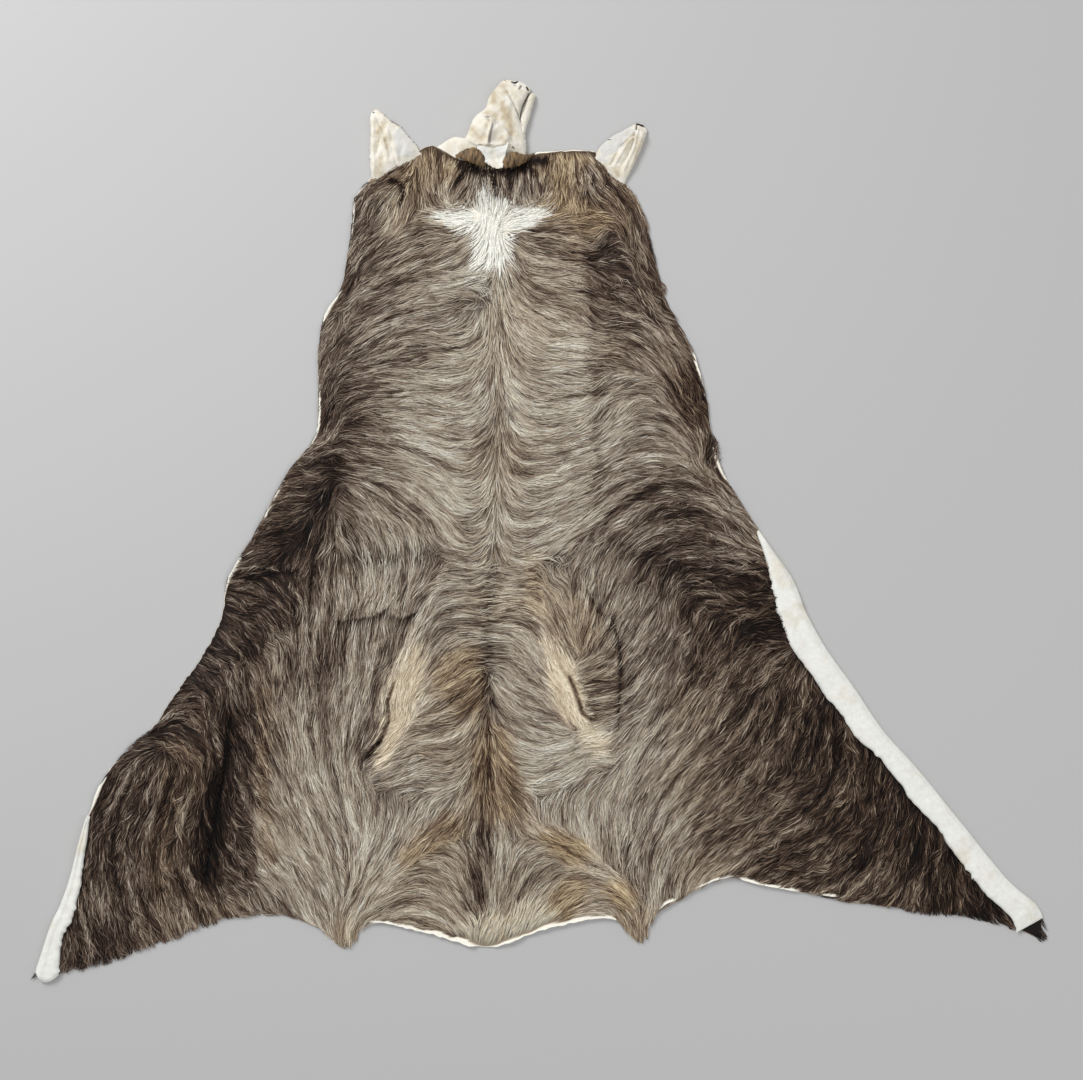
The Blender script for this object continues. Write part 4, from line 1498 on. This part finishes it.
def collar_roll(name, rows):
    """A closed roll along its rows' places, a little flat and uneven, thin at both ends."""
    stations, around = 60, 20
    steps = np.linspace(0, 1, stations)
    spine = curve_through([(row.across, row.along) for row in rows], steps)
    radius = curve_through([(10.0 * i, row.radius) for i, row in enumerate(rows)], steps)[:, 1]
    run = np.gradient(spine, axis=0)
    run /= np.hypot(*run.T)[:, None]
    angle = np.linspace(0, math.tau, around + 1)
    uneven = 1 + 0.07 * np.sin(np.arange(stations) * 0.7)[:, None]
    uneven = uneven + 0.10 * np.sin(2 * angle + 1)[None, :]
    ends = smooth(np.minimum(np.arange(stations), np.arange(stations)[::-1]) / 4 + 0.15)
    reach = radius[:, None] * uneven * ends[:, None]
    x = spine[:, 0, None] - run[:, 1, None] * np.cos(angle) * reach
    y = spine[:, 1, None] + run[:, 0, None] * np.cos(angle) * reach
    z = 4.0 + 0.85 * radius[:, None] + np.sin(angle) * reach * 0.85
    places = np.stack([x, y, np.maximum(z, 0.5)], -1)
    made = warped_grid(name, places, [collar_finish], tube=True)
    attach(made, "root")
    return made


collar = [collar_roll("collar_roll_left", LEFT_COLLAR), collar_roll("collar_roll_right", RIGHT_COLLAR)]


# Head skins: muzzle, lower lip and ears, pulled inside out and pressed flat, so the flesh side
# shows. Each is one skin with creases, tan stains, and dark sewn spots at the nostrils
FACE_EDGES = (
    [(-166, 637), (-148, 626), (-130, 617), (-100, 618), (-50, 620), (-19, 617)],
    [(-62, 742), (-54, 746), (-41, 745), (-26, 742), (-11, 732)],
    [
        (-166, 637), (-150, 647), (-137, 653), (-119, 652), (-108, 678),
        (-101, 688), (-86, 699), (-80, 717), (-62, 742),
    ],
    [(-19, 617), (-19, 645), (-24, 669), (-29, 684), (-26, 702), (-15, 723), (-11, 732)],
)
LIP_EDGES = (
    [(-33, 655), (-22, 655)],
    [(-14, 722), (-8, 725), (-3, 721)],
    [(-33, 655), (-28, 684), (-24, 700), (-14, 722)],
    [(-22, 655), (-17, 672), (-3, 721)],
)
LEFT_EAR_EDGES = (
    [(-272, 575), (-236, 596), (-190, 622)],
    [(-273, 694), (-267, 698), (-261, 697)],
    [(-272, 575), (-276, 619), (-275, 666), (-276, 683), (-273, 694)],
    [(-190, 622), (-198, 638), (-213, 656), (-229, 673), (-244, 682), (-261, 697)],
)
RIGHT_EAR_EDGES = (
    [(92, 612), (112, 594), (145, 566)],
    [(161, 675), (172, 674), (181, 663)],
    [(92, 612), (101, 634), (118, 651), (139, 663), (161, 675)],
    [(145, 566), (144, 578), (154, 598), (169, 629), (181, 663)],
)
FACE_CREASES = [
    Fold("pinch ridge", [(-87, 684), (-76, 674), (-78, 658), (-81, 640)], 11, 8, 1.8),
    Fold("hollow above the pinch", [(-84, 687), (-72, 684), (-62, 680)], -4, 5, 7),
    Fold("second ridge", [(-70, 668), (-54, 660), (-43, 644)], 6, 3.5, 11),
    Fold("skirt ridge", [(-112, 655), (-97, 664), (-84, 673)], 4, 3.5, 9),
    Fold("skirt hollow", [(-104, 640), (-92, 648), (-84, 655)], -3, 5, 5),
    Fold("hem of the skirt", [(-122, 648), (-98, 636), (-70, 634), (-46, 638)], 5, 5, 2.5),
    Fold("side line", [(-54, 735), (-37, 702), (-25, 670)], -3, 2.4, 1.8),
    Fold("side plane", [(-46, 735), (-30, 712), (-22, 690)], -3, 7, 12),
    Fold("nose pucker", [(-43, 741), (-36, 737), (-31, 741)], -2.5, 2.5, 2.5),
    Fold("nostril pucker", [(-28, 735), (-26, 728)], -2.0, 2.5, 2.5),
]
LEFT_EAR_CREASES = [
    Fold("outer edge roll", [(-272, 690), (-272, 640), (-269, 590)], 4, 4, 5),
    Fold("tip crease", [(-267, 690), (-258, 670), (-248, 662)], -3, 2.5, 2.5),
    Fold("ridge", [(-262, 672), (-252, 640), (-246, 612)], 4, 3.5, 2.2),
    Fold("cleft", [(-256, 656), (-262, 636), (-266, 622)], -3.5, 2.5, 3),
    Fold("inner ridge", [(-250, 668), (-240, 640), (-226, 612)], 4, 3, 4),
    Fold("inner cleft", [(-244, 650), (-236, 626), (-232, 606)], -3.5, 3, 2.2),
    Fold("brown seam", [(-244, 680), (-236, 676), (-224, 667)], -2, 1.6, 1.6),
]
RIGHT_EAR_CREASES = [
    Fold("outer edge roll", [(176, 664), (164, 628), (148, 588)], 4, 5, 4),
    Fold("long ridge", [(166, 668), (158, 634), (140, 592)], 4, 3, 2.2),
    Fold("long cleft", [(160, 660), (158, 645), (150, 625), (136, 600)], -4, 2.2, 3),
    Fold("second ridge", [(160, 655), (142, 632), (126, 604)], 4, 2.2, 4),
    Fold("second cleft", [(163, 660), (152, 650), (134, 634)], -3.5, 2.5, 2),
    Fold("short cleft", [(132, 628), (124, 612), (118, 604)], -3, 2.5, 2),
    Fold("tip cleft", [(164, 672), (163, 664)], -3, 2, 2),
]
STAINS = [
    Stroke(-58, 737, -54, 724, 6, 5),
    Stroke(-72, 722, -72, 708, 7, 7),
    Stroke(-58, 702, -50, 684, 7, 10),
    Stroke(-46, 676, -43, 658, 9, 8),
    Stroke(-84, 688, -66, 683, 3, 5),
    Stroke(-106, 664, -100, 652, 5, 5),
    Stroke(-92, 644, -88, 650, 4, 5),
    Stroke(-60, 646, -54, 642, 4, 4),
    Stroke(-262, 660, -250, 676, 5, 3),
    Stroke(-252, 650, -246, 632, 4, 3),
    Stroke(-240, 682, -226, 670, 2, 2),
    Stroke(-258, 616, -262, 596, 5, 6),
    Stroke(160, 652, 148, 640, 3, 3),
    Stroke(170, 650, 162, 620, 4, 4),
    Stroke(128, 600, 132, 590, 4, 4),
]
DARK_SPOTS = [
    Stroke(-42.5, 743.0, -37.5, 740.4, 1.4, 2.0),
    Stroke(-37.5, 740.4, -32.5, 743.2, 2.0, 1.3),
    Stroke(-18.0, 734.0, -15.6, 729.6, 1.7, 1.6),
    Stroke(-56.0, 747.0, -53.0, 745.0, 1.0, 0.8),
    Stroke(-41.0, 634.0, -38.0, 632.0, 1.4, 1.0),
    Stroke(-270.5, 693.5, -268.5, 692.5, 1.1, 0.8),
    Stroke(116.0, 648.5, 121.0, 647.5, 1.2, 0.8),
    Stroke(163.5, 674.5, 177.0, 670.0, 2.0, 1.6),
    Stroke(163.5, 674.0, 162.5, 664.0, 1.2, 0.7),
    Stroke(-232.5, 606.0, -230.0, 600.0, 0.9, 0.9),
]
BROWN_SPOTS = [
    Stroke(-39.0, 736.6, -36.0, 735.4, 1.2, 1.1),
    Stroke(-27.0, 735.0, -30.0, 729.0, 1.5, 1.6),
    Stroke(-243.5, 681.0, -230.0, 672.5, 1.2, 1.2),
    Stroke(-73.0, 669.0, -76.0, 656.0, 0.5, 2.0),
    Stroke(-76.0, 656.0, -79.0, 640.0, 2.0, 2.6),
    Stroke(-14.5, 723.5, -19.5, 706.0, 1.8, 1.6),
    Stroke(-19.5, 706.0, -27.0, 686.0, 1.6, 1.2),
    Stroke(-88.0, 683.5, -80.0, 680.0, 0.8, 1.4),
    Stroke(-48.0, 719.0, -37.0, 701.0, 0.1, 0.7),
    Stroke(-37.0, 701.0, -25.0, 671.0, 0.7, 0.8),
    Stroke(-97.0, 636.0, -72.0, 635.0, 0.5, 0.6),
]
PAPERY = [
    Stroke(-225, 655, -215, 640, 14, 16),
    Stroke(-222, 632, -208, 628, 12, 10),
    Stroke(116, 634, 128, 645, 14, 14),
    Stroke(112, 622, 108, 616, 8, 6),
    Stroke(134, 652, 152, 664, 10, 7),
]

skin_finish, nodes, links, shader = new_material("flesh_worked", 0.85, 0.25)
place = nodes.new("ShaderNodeTexCoord")
marks = nodes.new("ShaderNodeAttribute")
marks.attribute_name = "marks"
mark_parts = nodes.new("ShaderNodeSeparateColor")
links.new(marks.outputs["Color"], mark_parts.inputs["Color"])
cloudy = nodes.new("ShaderNodeTexNoise")
cloudy.inputs["Scale"].default_value = 70.0
cloudy.inputs["Detail"].default_value = 6.0
links.new(place.outputs["Object"], cloudy.inputs["Vector"])
tint = ramp(nodes, links, cloudy.outputs["Fac"], ((0.35, (232, 224, 205)), (0.65, (245, 241, 231))))
for channel, colour in (("Red", (188, 168, 130)), ("Blue", (212, 214, 214)), ("Green", (24, 18, 14))):
    blend = nodes.new("ShaderNodeMix")
    blend.data_type = "RGBA"
    links.new(mark_parts.outputs[channel], blend.inputs["Factor"])
    links.new(tint, blend.inputs["A"])
    blend.inputs["B"].default_value = linear(*colour)
    tint = blend.outputs["Result"]
pores = fine_grain(nodes, links, shader, place.outputs["Object"], 380.0, 5.0, 0.5, 0.5, 0.001)
links.new(multiplied(nodes, links, tint, pores, 0.25), shader.inputs["Base Color"])


def mark_skin(made):
    """Writes stain, dark spot and papery marks on a skin from their strokes."""
    count = len(made.data.vertices)
    flat = np.zeros(count * 3, dtype=np.float32)
    made.data.vertices.foreach_get("co", flat)
    x, y = (flat[0::3] / MM).astype(float), (flat[1::3] / MM).astype(float)
    wobble = 1.5 * ripple(x, y, 6, 41)
    colour = np.ones((count, 4), dtype=np.float32)
    colour[:, 0] = 0.78 * smooth((inside_strokes(STAINS, x, y) + 1.5 * wobble) / 16 + 0.4)
    brown = smooth((inside_strokes(BROWN_SPOTS, x, y) + 0.3 * wobble) / 1.4 + 0.5) * 0.68
    dark = smooth((inside_strokes(DARK_SPOTS, x, y) + 0.2 * wobble) / 0.8 + 0.5)
    colour[:, 1] = np.maximum(brown, dark)
    colour[:, 2] = 0.6 * smooth((inside_strokes(PAPERY, x, y) + 2 * wobble) / 6 + 0.5)
    marks_of = made.data.color_attributes.new("marks", "FLOAT_COLOR", "POINT")
    marks_of.data.foreach_set("color", colour.ravel())


def bare_skin(name, node, edges, creases, crown, columns, rows, wrinkle, power, base):
    """A crowned skin on the floor, closed underneath, with its creases and fine wrinkles."""
    bm = bmesh.new()
    bmesh.ops.create_grid(bm, x_segments=columns, y_segments=rows, size=0.5)
    u = np.array([vert.co.x + 0.5 for vert in bm.verts])
    v = np.array([vert.co.y + 0.5 for vert in bm.verts])
    spots = patch(edges, u, v)
    shaken = 0.9 * ripple(spots[:, 0], spots[:, 1], 3.5, 53) * np.exp(-40 * np.minimum(u, 1 - u))
    x, y = spots[:, 0] + shaken, spots[:, 1] + shaken
    rise = np.sqrt(np.maximum(1 - np.abs(2 * u - 1) ** power, 0)) * (0.3 + 0.7 * smooth((1 - v) * 6))
    rise = rise * (base + (1 - base) * smooth(v * 5))
    z = 2.5 + (crown - 2.5) * rise + (fold_relief(creases, x, y) + wrinkle * ripple(x, y, 9, 51)) * rise
    z += 0.35 * wrinkle * ripple(x, y, 4, 52) * rise
    for vert, px, py, pz in zip(bm.verts, x, y, z):
        vert.co = (px * MM, py * MM, max(pz, 1.5) * MM)
    rim_edges = [edge for edge in bm.edges if edge.is_boundary]
    walls = bmesh.ops.extrude_edge_only(bm, edges=rim_edges)["geom"]
    for vert in (part for part in walls if isinstance(part, bmesh.types.BMVert)):
        vert.co.z = 0.2 * MM
    bmesh.ops.holes_fill(bm, edges=[edge for edge in bm.edges if edge.is_boundary], sides=0)
    bmesh.ops.recalc_face_normals(bm, faces=bm.faces)
    made = object_from(bm, name, [skin_finish])
    made.data.set_sharp_from_angle(angle=math.radians(60))
    mark_skin(made)
    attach(made, "root")
    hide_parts(node)
    return made


face = bare_skin(
    "muzzle_skin", "face_skin", FACE_EDGES, FACE_CREASES,
    crown=20, columns=96, rows=96, wrinkle=0.7, power=2.6, base=0.4,
)
jaw = bare_skin(
    "lower_lip_skin", "lower_lip", LIP_EDGES, [],
    crown=11, columns=14, rows=50, wrinkle=0.8, power=2.2, base=1.0,
)
for side, edges, creases, cut_area in (
    ("left", LEFT_EAR_EDGES, LEFT_EAR_CREASES, 0.0065),
    ("right", RIGHT_EAR_EDGES, RIGHT_EAR_CREASES, 0.006),
):
    ear = bare_skin(
        f"{side}_ear_skin", f"ear_{side}", edges, creases,
        crown=10, columns=54, rows=70, wrinkle=0.8, power=3.0, base=0.1,
    )


# Lip flap: the lip is cut free at the throat and falls forward over the neck's edge as a ragged
# white tongue, 1.6 mm thick, of the same bare skin as the muzzle that it hangs on
FLAP_THICKNESS = 1.6
FLAP_COLUMNS, FLAP_ROWS = 45, 40
FLAP_EDGES = (
    [(-80, 606), (-68, 600), (-58, 601)],
    [(-99, 637), (-72, 640), (-47, 640)],
    [(-80, 606), (-89, 611), (-96, 622), (-99, 637)],
    [(-58, 601), (-54, 613), (-52, 624), (-47, 640)],
)
u, v = np.meshgrid(np.linspace(0, 1, FLAP_COLUMNS), np.linspace(0, 1, FLAP_ROWS))
spots = patch(FLAP_EDGES, u, v)
flap_x, flap_y = spots[..., 0], spots[..., 1]
edge_share = np.minimum(np.minimum(u, 1 - u) * FLAP_COLUMNS, v * FLAP_ROWS)
ragged = 0.9 * ripple(flap_x, flap_y, 3.5, 61) * np.exp(-edge_share / 1.5)
flap_x, flap_y = flap_x + ragged, flap_y + ragged
flap_z = 12.0 + 8.0 * smooth((v - 0.35) / 0.55) + 1.2 * np.sin(u * 6.0 + 1)
flap_z = flap_z + 0.5 * ripple(flap_x, flap_y, 7, 62)
flap = warped_grid("lip_flap", np.stack([flap_x, flap_y, flap_z], -1), [chalk])
give_thickness(flap, FLAP_THICKNESS, -1.0)
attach(flap, "root")
